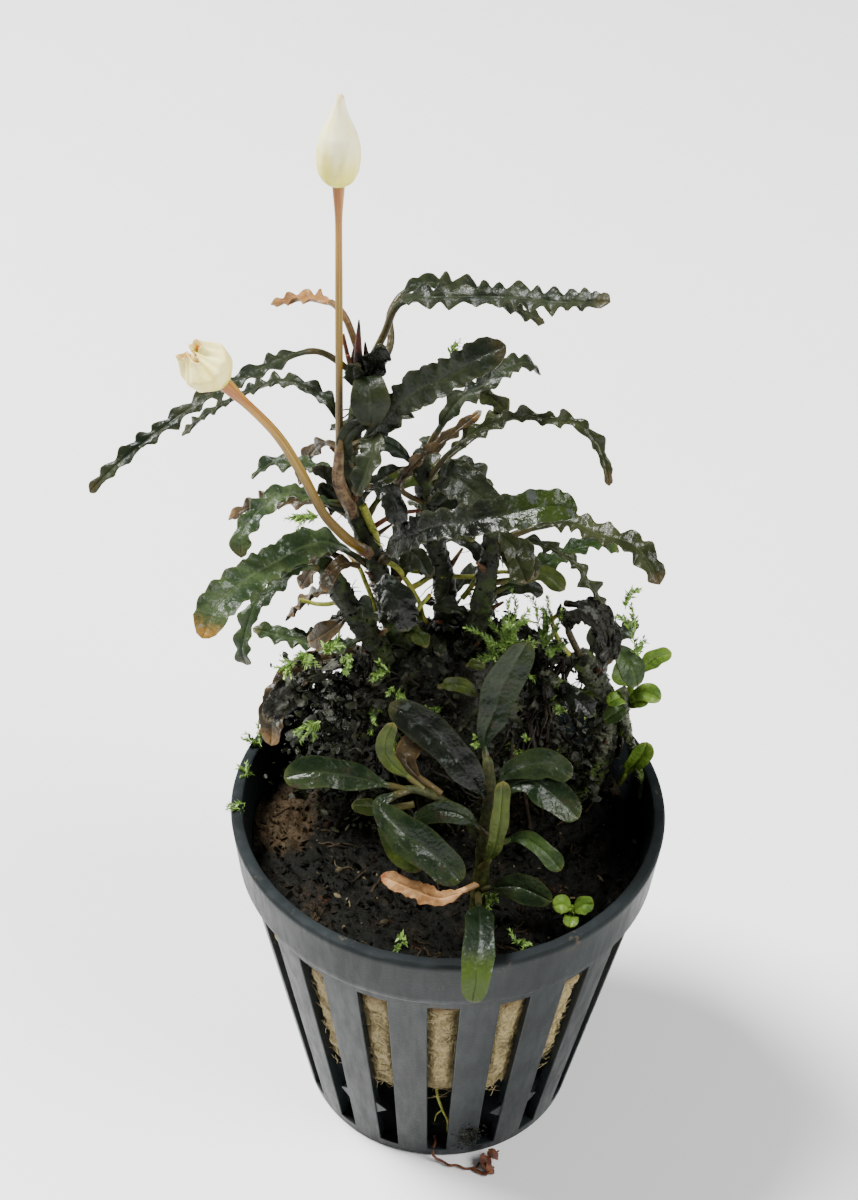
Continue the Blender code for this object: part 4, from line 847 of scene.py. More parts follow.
# Short leaves low on the rhizomes: how far up, turn about Z in degrees, length, width, rise, finish
FILLING = {
    "rhizome_left": [
        (0.25, 250, 5.5, 2.0, 0.5, "dark"), (0.45, 20, 6, 2.0, 0.6, "olive"),
        (0.6, 120, 6.5, 2.2, 0.5, "dark"), (0.7, 300, 4.5, 1.6, 0.7, "dark"),
    ],
    "rhizome_crown": [
        (0.2, 310, 5, 1.8, 0.6, "olive"), (0.3, 75, 7, 2.2, 0.5, "dark"), (0.42, 350, 6.5, 2.0, 0.7, "dark"),
        (0.5, 130, 7, 2.2, 0.5, "dark"), (0.6, 40, 7, 2.1, 0.6, "dark"), (0.7, 100, 7, 2.2, 0.6, "dark"),
    ],
    "rhizome_mid": [
        (0.22, 260, 5, 1.8, 0.7, "dark"), (0.35, 60, 7, 2.2, 0.5, "dark"), (0.48, 200, 6, 2.0, 0.6, "dark"),
        (0.6, 110, 8, 2.4, 0.5, "dark"), (0.7, 330, 6, 2.0, 0.5, "olive"), (0.82, 80, 8, 2.3, 0.5, "dark"),
        (0.9, 160, 7, 2.1, 0.6, "dark"),
    ],
    "rhizome_right": [
        (0.25, 330, 5.5, 2.0, 0.6, "olive"), (0.35, 70, 7, 2.3, 0.5, "dark"), (0.5, 190, 5, 1.8, 0.7, "dark"),
        (0.6, 20, 7, 2.2, 0.4, "dark"), (0.72, 110, 8, 2.4, 0.5, "dark"), (0.85, 60, 8, 2.2, 0.5, "dark"),
    ],
    "rhizome_far": [
        (0.5, 100, 6, 2.2, 0.5, "dark"), (0.7, 220, 5, 2.0, 0.5, "olive"), (0.85, 60, 6, 2.2, 0.6, "dark"),
    ],
}


def on_stems(table):
    """Each row of the table with its seed: the place on the stem, the turn in radians, the rest."""
    rows = [(stem, *row) for stem, rows in table.items() for row in rows]
    for seed, (name, share, turn, *rest) in enumerate(rows):
        yield seed, curve(STEMS[name].points, 101)[int(share * 100)], math.radians(turn), rest


def make_filling_leaves():
    draws = np.random.default_rng(61)
    shapes = {}
    for seed, start, turn, (reach, width, rise, finish) in on_stems(FILLING):
        out = outward(turn)
        bend = np.array([-out[1], out[0], 0]) * draws.uniform(-0.3, 0.3)
        lift = np.array([0, 0, rise]) * reach
        points = [start, start + out * 0.28 * reach + lift * 0.45,
                  start + (out + bend * 0.5) * 0.65 * reach + lift * 0.75,
                  start + (out + bend) * reach + lift * draws.uniform(0.25, 0.6)]
        leaf = Leaf("", finish, width, 0.25, 0.5, draws.uniform(0.3, 0.45), points)
        add_leaf(shapes.setdefault(finish, Shape()), leaf, 700 + seed)
    for finish, shape in shapes.items():
        piece("filling_leaves_" + finish, shape, finish)


# Stems: creeping rhizomes with leaf scars, the front shoots and the flower stalks

Stem = namedtuple("Stem", "finish slot low high spacing rough points")

CRUST_FOOT = 40.2
STEMS = {
    "rhizome_left": Stem("rhizome", "rhizome", 1.5, 1.15, 1.7, 0.16, [(-5, 5, 58), (-6, 4.5, 62),
        (-8.5, 3.5, 67.5), (-12, 2, 75), (-15, 2, 81.5)]),
    "rhizome_crown": Stem("rhizome", "rhizome", 1.4, 0.85, 1.5, 0.15, [(-3, 5, 60), (-4, 5, 64),
        (-6.5, 5, 68.5), (-8, 5, 74), (-9.5, 5.5, 80), (-11.5, 6, 86), (-12, 7, 92.5), (-11, 7.5, 98),
        (-10.5, 8, 103)]),
    "rhizome_mid": Stem("rhizome", "rhizome", 1.5, 0.95, 1.6, 0.16, [(-1.8, 6, 59), (-1.5, 6, 64),
        (-1, 6.5, 70), (-1.5, 7, 76), (-3, 7, 82), (-4, 8, 88), (-4.5, 8.5, 92)]),
    "rhizome_right": Stem("rhizome", "rhizome", 1.6, 1.05, 1.6, 0.16, [(0.5, 5, 58), (1, 5, 62),
        (2, 4.5, 68.5), (3, 4, 74), (3.5, 4, 80), (4, 4.5, 84)]),
    "rhizome_far": Stem("mossy", "rhizome", 1.3, 1.5, 1.8, 0.2, [(16.5, 8, CRUST_FOOT), (18.5, 8, 45.5),
        (19, 8, 51), (17.8, 8, 58), (14.8, 7.5, 64)]),
    "sprout_stem": Stem("shoot", "shoot", 1.0, 0.65, 3.2, 0.05, [(3.5, -12.5, CRUST_FOOT), (4, -11.5, 47),
        (4, -11, 52), (4.5, -10, 58), (4, -8, 62)]),
    "sprout_side_stem": Stem("shoot", "shoot", 0.6, 0.45, 3.0, 0.04, [(4, -11, 51), (1, -11, 56),
        (-3, -12, 60), (-6, -12.3, 60.5)]),
}


def add_stem(shape, stem, seed):
    """A stem with a raised scar at each node, rough bark and a rounded end."""
    route = smooth_route(stem.points)
    length = steps_of(route).sum()
    rows = int(length / STEM_ROW_SPACING)
    s = np.linspace(0, length, rows)
    radius = stem.low + (stem.high - stem.low) * s / length
    beat = (s / stem.spacing + 0.25 * np.sin(s * 0.9 + seed)) % 1.0
    ring = np.exp(-((np.minimum(beat, 1 - beat) / 0.13) ** 2))
    radius = radius * (1 + 0.07 * ring - 0.04 * np.sin(math.pi * beat))
    radius = radius * np.sqrt(np.clip(1 - np.clip(1 - (length - s) / 1.2, 0, 1) ** 2, 0.01, 1))

    def bark(turn, share):
        around = polar(1, turn, share * length / stem.low)
        return 1 + stem.rough * (0.8 * field(around, 1.3, seed) + 0.5 * field(around, 0.3, seed + 1, 2))

    add_tube(shape, resampled(route, rows), radius, 26, 0.5, bark)


def add_stub(shape, start, way, length, radius, seed):
    """What is left of an old leaf: a short bent sheath narrowing to a broken end."""
    draws = np.random.default_rng(seed)
    way = unit(way)
    bent = way + draws.normal(size=3) * 0.25
    points = [start + (way * k + bent * k * k * 0.4) * length for k in (0, 0.3, 0.6, 1)]
    add_tube(shape, curve(points, 9), radius * np.linspace(1.15, 0.35, 9), 9, draws.uniform())


# Old leaf bases on each stem: how far up it, turn about Z in degrees, rise, size
STUBS = {
    "rhizome_left": [(0.3, 200, 0.8, 1.0), (0.48, 330, 0.9, 0.8), (0.66, 140, 1.0, 1.0),
                     (0.86, 250, 1.4, 1.1)],
    "rhizome_crown": [(0.25, 300, 0.8, 0.9), (0.38, 220, 1.0, 0.9), (0.5, 20, 1.0, 0.9),
                      (0.62, 280, 1.3, 1.0), (0.72, 160, 1.4, 1.0), (0.8, 330, 1.6, 1.1)],
    "rhizome_mid": [(0.3, 250, 0.8, 1.0), (0.5, 30, 1.0, 1.0), (0.7, 300, 1.0, 1.1), (0.85, 100, 1.2, 1.1)],
    "rhizome_right": [(0.35, 300, 0.9, 1.0), (0.55, 350, 0.9, 1.0), (0.8, 240, 1.2, 1.1)],
    "rhizome_far": [(0.4, 260, 0.7, 1.0), (0.65, 20, 0.8, 1.0), (0.85, 290, 1.0, 1.0)],
}
# Pointed bracts at the crown: turn in degrees, height, radius
CROWN_BRACTS = [
    (250, 7.8, 0.6), (330, 4.0, 0.55), (60, 4.4, 0.5), (160, 3.6, 0.5), (205, 4.8, 0.55), (290, 2.6, 0.5),
    (20, 3.0, 0.45), (120, 2.6, 0.4),
]
CROWN_TOP = (-10.8, 7.8, 101.0)
# Reddish stalks of lost leaves beside the crown: radius and points
RED_STALKS = [
    (0.3, [(-11, 7.2, 98.5), (-12, 8, 102.6), (-12.8, 8.8, 106)]),
    (0.34, [(-10.8, 6.4, 98), (-11.3, 6.4, 101.4), (-12.2, 7, 104.6)]),
    (0.36, [(-9.9, 7, 98.6), (-9, 7.4, 101.4), (-8.4, 7.8, 104)]),
    (0.3, [(-6.6, 6.8, 74.6), (-5, 7, 77), (-2.8, 7, 77.6)]),
    (0.3, [(-9.4, 5.4, 83.4), (-7, 4.6, 85.8), (-4.2, 4.2, 86.8)]),
]


def make_stems():
    for seed, (name, stem) in enumerate(STEMS.items()):
        shape = Shape()
        add_stem(shape, stem, 300 + seed)
        piece(name + "_fine", shape, stem.finish, (name,))
    shape = Shape()
    for seed, start, turn, (rise, size) in on_stems(STUBS):
        add_stub(shape, start, outward(turn, rise), 2.6 * size, 0.42 * size, 400 + seed)
    piece("old_leaf_bases", shape, "bract")
    make_thin_stalks()
    make_stem_growth()
    make_crown()


def make_crown():
    shape = Shape()
    for seed, (turn, height, radius) in enumerate(CROWN_BRACTS):
        out = outward(math.radians(turn))
        steps = ((0.3, 0), (0.9, 0.4 * height), (0.7, height))
        spine = curve([np.array(CROWN_TOP) + out * k + (0, 0, rise) for k, rise in steps], 16)
        add_tube(shape, spine, radius * np.linspace(1.25, 0.06, 16) ** 0.7, 10, seed / 9)
    piece("crown_bracts", shape, "crown")
    shape = Shape()
    for radius, points in RED_STALKS:
        add_tube(shape, curve(points, 24), radius * np.linspace(1.1, 0.7, 24), 10, 0.7)
    piece("red_stalks", shape, "red")


# Thin stalks between the rhizomes, most of them yellow-green: radius and points
THIN_STALKS = [
    (0.42, [(-10.6, 5.4, 86.5), (-9.5, 5, 83.5), (-8.4, 6, 78.3), (-7, 6, 73), (-6, 6, 68)]),
    (0.3, [(-7.6, 6, 74), (-6.4, 7, 76.2), (-3, 8, 75.2), (-1.1, 7, 77.8)]),
    (0.35, [(-6.2, 5.6, 72), (-5.2, 6, 74.1), (-2.4, 7, 75.6), (-0.4, 7, 74.6)]),
    (0.3, [(0.8, 6, 73), (2.3, 7, 75), (3.8, 8, 77.2), (5.4, 8, 78.4)]),
    (0.26, [(-1.8, 6, 76.2), (1.6, 7, 75.6), (4.9, 7, 76.4), (6.8, 7, 76)]),
    (0.3, [(-8.5, 5.6, 79), (-6.2, 5.4, 77), (-4.4, 5.8, 73.2), (-3.2, 6, 69)]),
    (0.24, [(3, 5.6, 72), (6, 6.4, 75.5), (9, 7, 76.5), (11.5, 8, 75)]),
    (0.26, [(-9, 4.6, 72), (-10.6, 6, 76.5), (-12.5, 7.5, 78.5)]),
    (0.28, [(-5, 5, 68), (-4.6, 4, 72), (-3, 3.6, 75.4)]),
    (0.3, [(13.5, 6.6, 64.5), (11.6, 6, 68.2), (11.2, 5.4, 70.8), (12.4, 5, 72.6)]),
    (0.26, [(-12, 3, 76), (-13.6, 3.8, 73.8), (-15.5, 4.4, 72.8), (-17.6, 4.6, 73.2)]),
]


def make_thin_stalks():
    shape = Shape()
    for seed, (radius, points) in enumerate(THIN_STALKS):
        spine = wobbled(curve(points, 40), 0.1, 2.0, (seed, seed + 20, seed + 40))
        add_tube(shape, spine, radius * np.linspace(1.15, 0.85, 40), 10, 0.9 - 0.1 * (seed % 4))
    piece("thin_stalks", shape, "young")


def make_stem_growth():
    """The fuzz of algae, moss and root hairs on the rhizomes."""
    draws = np.random.default_rng(47)
    litter, hairs = Shape(), Shape()
    for stem in list(STEMS.values())[:RHIZOME_COUNT]:
        route = curve(stem.points, 200)
        along = frames_along(route)[0]
        radii = np.linspace(stem.low, stem.high, 200)
        rows, out, places = skin_spots(route, radii, CRUMBS_A_STEM, 190, 1.12, draws)
        scatter(litter, places, draws.uniform(0.08, 0.3, CRUMBS_A_STEM), draws, 0.7)
        for row, way, place in list(zip(rows, out, places))[:HAIRS_A_STEM]:
            line = wandering(place - way * 0.2, way + along[row] * draws.normal() * 0.6,
                             draws.uniform(1.0, 3.2), draws, 0.5, 0.6, 8)
            add_tube(hairs, line, draws.uniform(0.05, 0.11) * np.linspace(1, 0.5, 8), 5, draws.uniform())
    piece("stem_litter", litter, "crust")
    piece("stem_hairs", hairs, "root")


# Flowers

STALK_UPRIGHT = [(-11, 6, 84), (-13, 4.4, 90), (-13, 4.6, 95), (-13, 5.4, 108.5), (-13, 6, 124.9)]
STALK_LEANING = [(-9.5, 5.5, 79.5), (-11.3, 1.5, 84), (-13, -0.5, 87.5), (-14.5, -2, 91),
                 (-16.5, -4, 97.5), (-19, -5.5, 103.5), (-23.6, -7.05, 110.1)]
# Papery sheaths round the stalks' feet: stalk, share of it, radius at the foot and at the top
SHEATHS = [(STALK_UPRIGHT, 0.27, 0.82, 0.46), (STALK_LEANING, 0.12, 0.7, 0.58)]
BUD_BASE, BUD_HEIGHT, BUD_RADIUS = 124.7, 9.55, 2.25
BUD_X, BUD_Y = -13, 6
SEAM_TURN, SEAM_WINDING = 4.4, 1.5  # where the bud's free edge starts, and how far it winds to the tip
CUP_LENGTH, CUP_RADIUS, CUP_WALL = 5.6, 2.7, 0.28
SPADIX_LOW, SPADIX_HIGH, SPADIX_RADIUS = 0.5, 4.6, 0.95
# The bud's outline: height and radius as shares of its own
BUD_PROFILE = [(0.0, 0.24), (0.025, 0.5), (0.08, 0.76), (0.17, 0.93), (0.3, 1.0), (0.44, 0.97),
               (0.57, 0.83), (0.69, 0.58), (0.8, 0.37), (0.9, 0.24), (0.97, 0.18), (1.0, 0.08)]
# The cup's outline, likewise
CUP_PROFILE = [(0, 0.18), (0.06, 0.5), (0.3, 0.92), (0.6, 1.0), (0.85, 0.86), (1.0, 0.8)]


def add_ribbed_stalk(shape, points, low, high):
    def ribs(turn, share):
        return 1 + 0.05 * np.cos(5 * turn + 3 * share) + 0.03 * np.sin(14 * share + 5)

    radii = np.linspace(low, high, 120) + 0.26 * eased(np.linspace(0, 1, 120), 0.86, 1.0) ** 2
    add_tube(shape, curve(points, 120), radii, 20, 0.5, ribs)


def make_bud():
    """A closed spathe: one blade rolled round itself, with its free edge winding to the tip."""
    rows, columns = 70, 56
    h, turn = np.linspace(0, 1, rows)[:, None], turns_of(columns)
    heights, radii = zip(*BUD_PROFILE)
    radius = np.interp(h, heights, radii)
    radius = 0.25 * (np.roll(radius, 1, 0) + 2 * radius + np.roll(radius, -1, 0))
    radius[0], radius[-1] = radii[0], radii[-1]
    seam = (turn - SEAM_TURN - SEAM_WINDING * h) % math.tau
    wrap = 0.06 * np.exp(-seam / 0.9) * np.sin(math.pi * np.clip(h, 0.02, 0.98)) ** 0.5
    ribs = 0.012 * np.cos(11 * turn + 2.0 * h)
    radius = BUD_RADIUS * radius * (1 - 0.035 + wrap + ribs)
    lean = 0.25 * h**2
    points = np.stack([BUD_X + radius * np.cos(turn) + lean, BUD_Y + radius * np.sin(turn),
                       BUD_BASE + BUD_HEIGHT * h + 0 * turn], -1)
    shape = Shape()
    shape.add_rings(points, turn / math.tau, h, np.exp(-seam / 0.12))
    piece("spathe_upright_fine", shape, "spathe", ("spathe_upright",))


def make_cup():
    """A spathe that has crumpled shut: a ragged cup on the leaning stalk, with its spadix inside."""
    end, before = np.array(STALK_LEANING[-1]), np.array(STALK_LEANING[-2])
    axis = unit(end - before)
    across = unit(np.cross(axis, (0, 1, 0)))
    front = np.cross(axis, across)
    rows, columns = 40, 72
    h, turn = np.linspace(0, 1, rows)[:, None], turns_of(columns)
    bulge = np.interp(h, *zip(*CUP_PROFILE))
    torn = 0.87 + 0.08 * np.sin(2 * turn + 0.6) + 0.05 * np.sin(5 * turn + 2) + 0.03 * np.sin(13 * turn)
    flare = eased(h, 0.5, 1.0) * (0.17 * np.sin(4 * turn + 1.0) + 0.07 * np.sin(9 * turn) - 0.42)
    creases = 0.035 * np.sin(9 * turn + 3 * h) * eased(h, 0.2, 0.8)
    walls = []
    for inset in (0.0, CUP_WALL):
        radius = CUP_RADIUS * (bulge * 0.95 + flare + creases) - inset * eased(h, 0.02, 0.2)
        rise = CUP_LENGTH * h * torn + inset * (1 - h)
        walls.append(end + axis * rise[..., None] + across * (radius * np.cos(turn))[..., None]
                     + front * (radius * np.sin(turn))[..., None])
    shape = Shape()
    shape.add(walls[0], grid_faces(rows, columns, True), turn / math.tau, h)
    shape.add(walls[1], grid_faces(rows, columns, True, True), turn / math.tau, h, 0.6)
    rim, inside = (rows - 1) * columns, (2 * rows - 1) * columns
    for k in range(columns):
        j = (k + 1) % columns
        shape.faces.append([rim + k, rim + j, inside + j, inside + k])
    shape.faces.append(list(range(columns))[::-1])
    shape.faces.append([rows * columns + k for k in range(columns)])
    piece("spathe_leaning_fine", shape, "cup", ("spathe_leaning",))

    def grains(turn, share):
        return 1 + 0.09 * np.sin(8 * turn + 40 * share) * np.sin(46 * share)

    shape = Shape()
    knob = [end + axis * d for d in np.linspace(SPADIX_LOW, SPADIX_HIGH, 26)]
    radius = SPADIX_RADIUS * np.sqrt(np.clip(np.sin(np.linspace(0.12, math.pi - 0.05, 26)), 0.01, 1))
    add_tube(shape, knob, radius, 24, 0.2, grains)
    piece("spadix", shape, "cup")


def make_flowers():
    for name, points, low, high in (("flower_stalk_upright", STALK_UPRIGHT, 0.43, 0.36),
                                    ("flower_stalk_leaning", STALK_LEANING, 0.56, 0.46)):
        shape = Shape()
        add_ribbed_stalk(shape, points, low, high)
        piece(name + "_fine", shape, "stalk", (name,))
    make_bud()
    make_cup()

    def folds(turn, share):
        split = (turn - 4.2 - 0.8 * share) % math.tau
        return 1 + 0.16 * np.exp(-split / 0.5) + 0.05 * np.cos(6 * turn + 2 * share)

    shape = Shape()
    for points, share, low, high in SHEATHS:
        spine = curve(points, 240)[:int(240 * share)]
        radius = low + (high - low) * np.linspace(0, 1, len(spine)) ** 1.4
        add_tube(shape, spine, radius, 26, 0.7, folds)
    piece("flower_sheaths", shape, "sheath")


# The root mass: roots, moss and dead leaves that the rhizomes rise from

MASS_LEVELS = np.array([
    # height, centre x and y, half width in x and y
    (42.0, 1.5, 4.5, 5.6, 4.2),
    (47.0, 1.0, 4.5, 7.2, 4.8),
    (52.0, 0.0, 4.5, 7.8, 5.3),
    (57.0, -0.5, 5.0, 10.2, 5.8),
    (61.0, -0.5, 5.5, 11.8, 6.3),
    (65.0, 0.0, 5.5, 9.4, 5.3),
    (68.0, 0.0, 5.5, 5.0, 3.2),
])


def mass_point(height, turn, out=1.0):
    """A point on the root mass at this height and turn, or off it by the share out."""
    x, y, wide, deep = (np.interp(height, MASS_LEVELS[:, 0], MASS_LEVELS[:, k]) for k in (1, 2, 3, 4))
    return np.stack([x + wide * out * np.cos(turn), y + deep * out * np.sin(turn), height + 0 * turn], -1)


def make_root_mass():
    rows, columns = 100, 170
    height = np.linspace(MASS_LOW, MASS_HIGH, rows)[:, None]
    height, turn = np.broadcast_arrays(height, turns_of(columns))
    skin = mass_point(height, turn)
    lumps = 1.3 * field(skin, 5.0, 1, 2) + 0.8 * field(skin, 2.0, 2, 2) + 0.35 * field(skin, 0.8, 3, 2)
    out = 1 + lumps / 8.0 - 0.55 * np.clip((height - 66) / 2.5, 0, 1) ** 2
    points = mass_point(height, turn, out)
    points[..., 2] += 0.5 * field(points, 1.5, 4, 2)
    shape = Shape()
    shape.add_rings(points, shade=0.5 + 0.5 * field(points, 3.0, 6))
    piece("root_mass_fine", shape, "crust", ("root_mass",))


FLAKE = np.array([(1, 0, 0), (0.3, 0.55, 0.12), (-0.6, 0.45, 0), (-1, 0, 0.1), (-0.4, -0.5, 0),
                  (0.4, -0.55, 0.1), (0, 0, 0.35), (0, 0, -0.25)])
FLAKE_FACES = [[k, (k + 1) % 6, 6] for k in range(6)] + [[(k + 1) % 6, k, 7] for k in range(6)]


def turned_frames(draws, count):
    """Random right-handed frames, one 3 by 3 matrix for each copy."""
    a = unit(draws.normal(size=(count, 3)))
    b = unit(np.cross(a, unit(draws.normal(size=(count, 3)))))
    return np.stack([a, b, np.cross(a, b)], 1)


def scatter(shape, places, sizes, draws, flat=1.0, frames=None, form=FLAKE, faces=FLAKE_FACES):
    """One small closed form at each place, turned at random, each with its own shade."""
    count = len(places)
    frames = turned_frames(draws, count) if frames is None else frames
    forms = form * (1, 1, flat) * draws.uniform(0.75, 1.3, (count, 1, 3))
    points = np.einsum("nvk,nkx->nvx", forms * sizes[:, None, None], frames) + places[:, None]
    faces = np.array(faces)[None] + (np.arange(count) * len(form))[:, None, None]
    shape.add(points, faces.reshape(-1, 3), form[:, 0] * 0.5 + 0.5, 0.0, draws.uniform(0, 1, (count, 1)))


def add_scrap(shape, place, normal, size, draws):
    """A curled, torn bit of dead leaf."""
    v, u = np.meshgrid(np.linspace(-1, 1, 6), np.linspace(-1, 1, 4), indexing="ij")
    side = unit(np.cross(normal, draws.normal(size=3)))
    along = np.cross(side, normal)
    ragged = 1 + draws.normal(size=v.shape) * 0.12
    wide = draws.uniform(0.4, 0.75) * np.sqrt(np.clip(1.1 - v**2, 0.08, 1)) * ragged
    curl, cup, wave = draws.uniform(-0.5, 0.5), draws.uniform(-0.6, 0.6), draws.uniform(0.05, 0.25)
    lift = curl * v**2 + cup * (u * wide) ** 2 + wave * np.sin(3.5 * v + draws.uniform(0, 6)) * u
    skin = along * (v * ragged)[..., None] + side * (u * wide)[..., None] + normal * lift[..., None]
    add_sheet(shape, place + skin * size, normal, SCRAP_THICKNESS, 0.5 + 0.5 * u, 0.5 + 0.4 * v)


# Loose heaps of litter: centre, spread in x, y and z, crumbs
HEAPS = [
    ((0, 6, 67.5), (3.6, 1.8, 1.2), 420), ((4.5, 5, 69), (2.6, 1.4, 1.3), 260),
    ((9.5, 5.5, 65), (2.2, 1.5, 1.5), 220), ((-9.5, 1.5, 60), (2.2, 1.6, 2.2), 260),
    ((-13.5, 2.5, 57), (2.6, 1.6, 1.8), 300), ((-15.5, 3.5, 50), (2.4, 1.8, 2.6), 300),
    ((-10.5, 0.5, 46), (2.6, 1.6, 2.4), 300), ((-14.8, 4.4, 61.6), (2.2, 1.2, 1.4), 260),
    ((12, 5, 55), (2.0, 1.6, 4.0), 300), ((16.5, 6.5, 48), (1.6, 1.4, 3.6), 260),
    ((0, 12, 55), (4.0, 1.2, 4.0), 260),
]


def make_mass_litter():
    """Crumbs, bits of bark and torn leaf that cover the root mass and fill the hollows beside it."""
    draws = np.random.default_rng(21)
    shape = Shape()
    height, turn = draws.uniform(42, 68, MASS_CRUMBS), draws.uniform(0, math.tau, MASS_CRUMBS)
    out = 1 + draws.normal(0.05, 0.07, MASS_CRUMBS) - 0.5 * np.clip((height - 66) / 2.5, 0, 1) ** 2
    sizes = draws.uniform(0.12, 0.6, MASS_CRUMBS) ** 1.2
    scatter(shape, mass_point(height, turn, out), sizes, draws, 0.6)
    for centre, spread, number in HEAPS:
        places = np.array(centre) + draws.normal(size=(number, 3)) * spread
        scatter(shape, places, draws.uniform(0.12, 0.6, number), draws, 0.6)
    piece("root_mass_litter", shape, "crust")

    shape = Shape()
    for _ in range(MASS_SCRAPS):
        height, turn = draws.uniform(46, 68.5), draws.uniform(0, math.tau)
        place = mass_point(height, turn, draws.uniform(0.95, 1.12))
        way = unit(outward(turn, 0.3) + draws.normal(size=3) * 0.6)
        add_scrap(shape, place, way, draws.uniform(0.45, 1.3), draws)
    for centre, spread, number in HEAPS:
        for _ in range(number // 7):
            place = np.array(centre) + draws.normal(size=3) * spread
            up = unit(np.array([0, -0.4, 1.0]) + draws.normal(size=3) * 0.5)
            add_scrap(shape, place, up, draws.uniform(0.4, 1.1), draws)
    piece("leaf_scraps", shape, "scrap")


def wandering(start, way, length, draws, bend=0.5, drop=0.0, count=14):
    """A root's line: it starts along way, then wanders, and drops the more the larger drop is."""
    points, way = [np.asarray(start, float)], unit(np.asarray(way, float))
    for _ in range(count - 1):
        way = unit(way + draws.normal(size=3) * bend * 0.5 + (0, 0, -drop * 0.3))
        points.append(points[-1] + way * length / (count - 1))
    return np.array(points)


# Larger roots: where they run, and their radius
BRANCH_ROOTS = [
    ([(16, 8, 62), (12, 7.5, 63.5), (8, 6.5, 64), (4, 6, 63)], 0.9),
    ([(14.5, 7.6, 63.5), (12.5, 6.5, 58), (12, 5, 51), (11.4, 4, 44.5), (11.5, 3.5, 41)], 0.4),
    ([(8, 4, 60), (10, 1.5, 54), (9, 0, 48), (10.5, -1.5, 41)], 0.4),
    ([(-8, 3, 58), (-11, 1.5, 52), (-12, 1, 46), (-13.5, 0, 41)], 0.4),
    ([(-9, 6, 60), (-14, 7.5, 55), (-16.5, 8, 48), (-18, 8, 41)], 0.35),
    ([(0, 10, 60), (-1, 13, 54), (-3, 15, 47), (-4, 16, 41)], 0.45),
    ([(5, 9.5, 58), (8, 12.5, 52), (9, 14, 46), (10, 15.5, 41)], 0.4),
    ([(19, 8, 55), (20.3, 8, 53), (20.8, 8, 50), (20.4, 8.4, 47)], 0.5),
]


def make_roots():
    draws = np.random.default_rng(33)
    shape = Shape()
    for _ in range(MASS_ROOTS):
        turn, height = draws.uniform(0, math.tau), draws.uniform(46, 67)
        out = outward(turn, -0.3)
        across = np.array([-out[1], out[0], draws.uniform(-0.8, 0.4)]) * draws.choice([-1, 1])
        start = mass_point(height, turn, 0.97)
        line = wandering(start, out * 0.25 + across, draws.uniform(4, 11), draws, 0.5, 0.5)
        hold = mass_point(np.clip(line[:, 2], 42, 68), np.arctan2(line[:, 1] - 5, line[:, 0]), 1.04)
        line[:, :2] = 0.5 * line[:, :2] + 0.5 * hold[:, :2]
        line[:, 2] = np.maximum(line[:, 2], ROOT_FLOOR)
        radius = draws.uniform(0.1, 0.24) * np.linspace(1, 0.6, len(line))
        add_tube(shape, line, radius, 5, draws.uniform())
    # A tangle hangs from the upper right down to the soil
    sideways = field(np.linspace((0, 0, 0), (9, 0, 0), 20), 2, 1)[:, None] * 0.2
    for _ in range(TANGLE_ROOTS):
        start = np.array([draws.uniform(6, 14), draws.uniform(3, 9), draws.uniform(56, 65)])
        end = np.array([draws.uniform(7, 15), draws.uniform(2, 12), 41.3])
        sway = draws.normal(size=(2, 3)) * (2.0, 1.6, 1.8)
        line = [start, start * 0.66 + end * 0.34 + sway[0], start * 0.33 + end * 0.67 + sway[1], end]
        radius = draws.uniform(0.12, 0.3) * np.linspace(1, 0.7, 20)
        add_tube(shape, curve(line, 20) + sideways, radius, 5, draws.uniform())
    for line, radius in BRANCH_ROOTS:
        spine = wobbled(curve(line, 40), 0.12, 1.2, (1, 2, 3))
        add_tube(shape, spine, radius * np.linspace(1.0, 0.75, 40), 10, 0.4)
    piece("roots", shape, "root")


MOSSY_COLUMNS = [
    ([(18.6, 7.2, 52), (18, 6.8, 47.5), (16.6, 6.2, 44), (14.6, 5.6, 41.2)], 1.0),
    ([(20.4, 7.4, 58.6), (21, 7, 54.2), (22.2, 6.2, 50.2), (23.5, 5.2, 46), (23.6, 4.6, 43.6)], 0.55),
    ([(10, 4.5, 64), (13, 5.4, 60.5), (15.5, 6.4, 58)], 0.7),
]


def make_mossy_columns():
    """Thick old roots with a skin of moss, at the right."""
    draws = np.random.default_rng(67)
    shape, fuzz = Shape(), Shape()
    for seed, (line, radius) in enumerate(MOSSY_COLUMNS):
        spine = wobbled(curve(line, 90), 0.18, 2.2, (seed + 1, seed + 2, seed + 3))

        def skin(turn, share):
            around = polar(1, turn, 14 * share)
            return 1 + 0.16 * field(around, 1.4, seed, 3) + 0.1 * field(around, 0.35, seed + 9, 2)

        radii = radius * np.linspace(1.1, 0.8, 90)
        add_tube(shape, spine, radii, 24, 0.8, skin)
        places = skin_spots(spine, radii, FUZZ_A_ROOT, 90, 1.15, draws)[2]
        scatter(fuzz, places, draws.uniform(0.07, 0.24, FUZZ_A_ROOT), draws, 0.7)
    piece("mossy_roots", shape, "mossy")
    piece("mossy_root_fuzz", fuzz, "mossy")


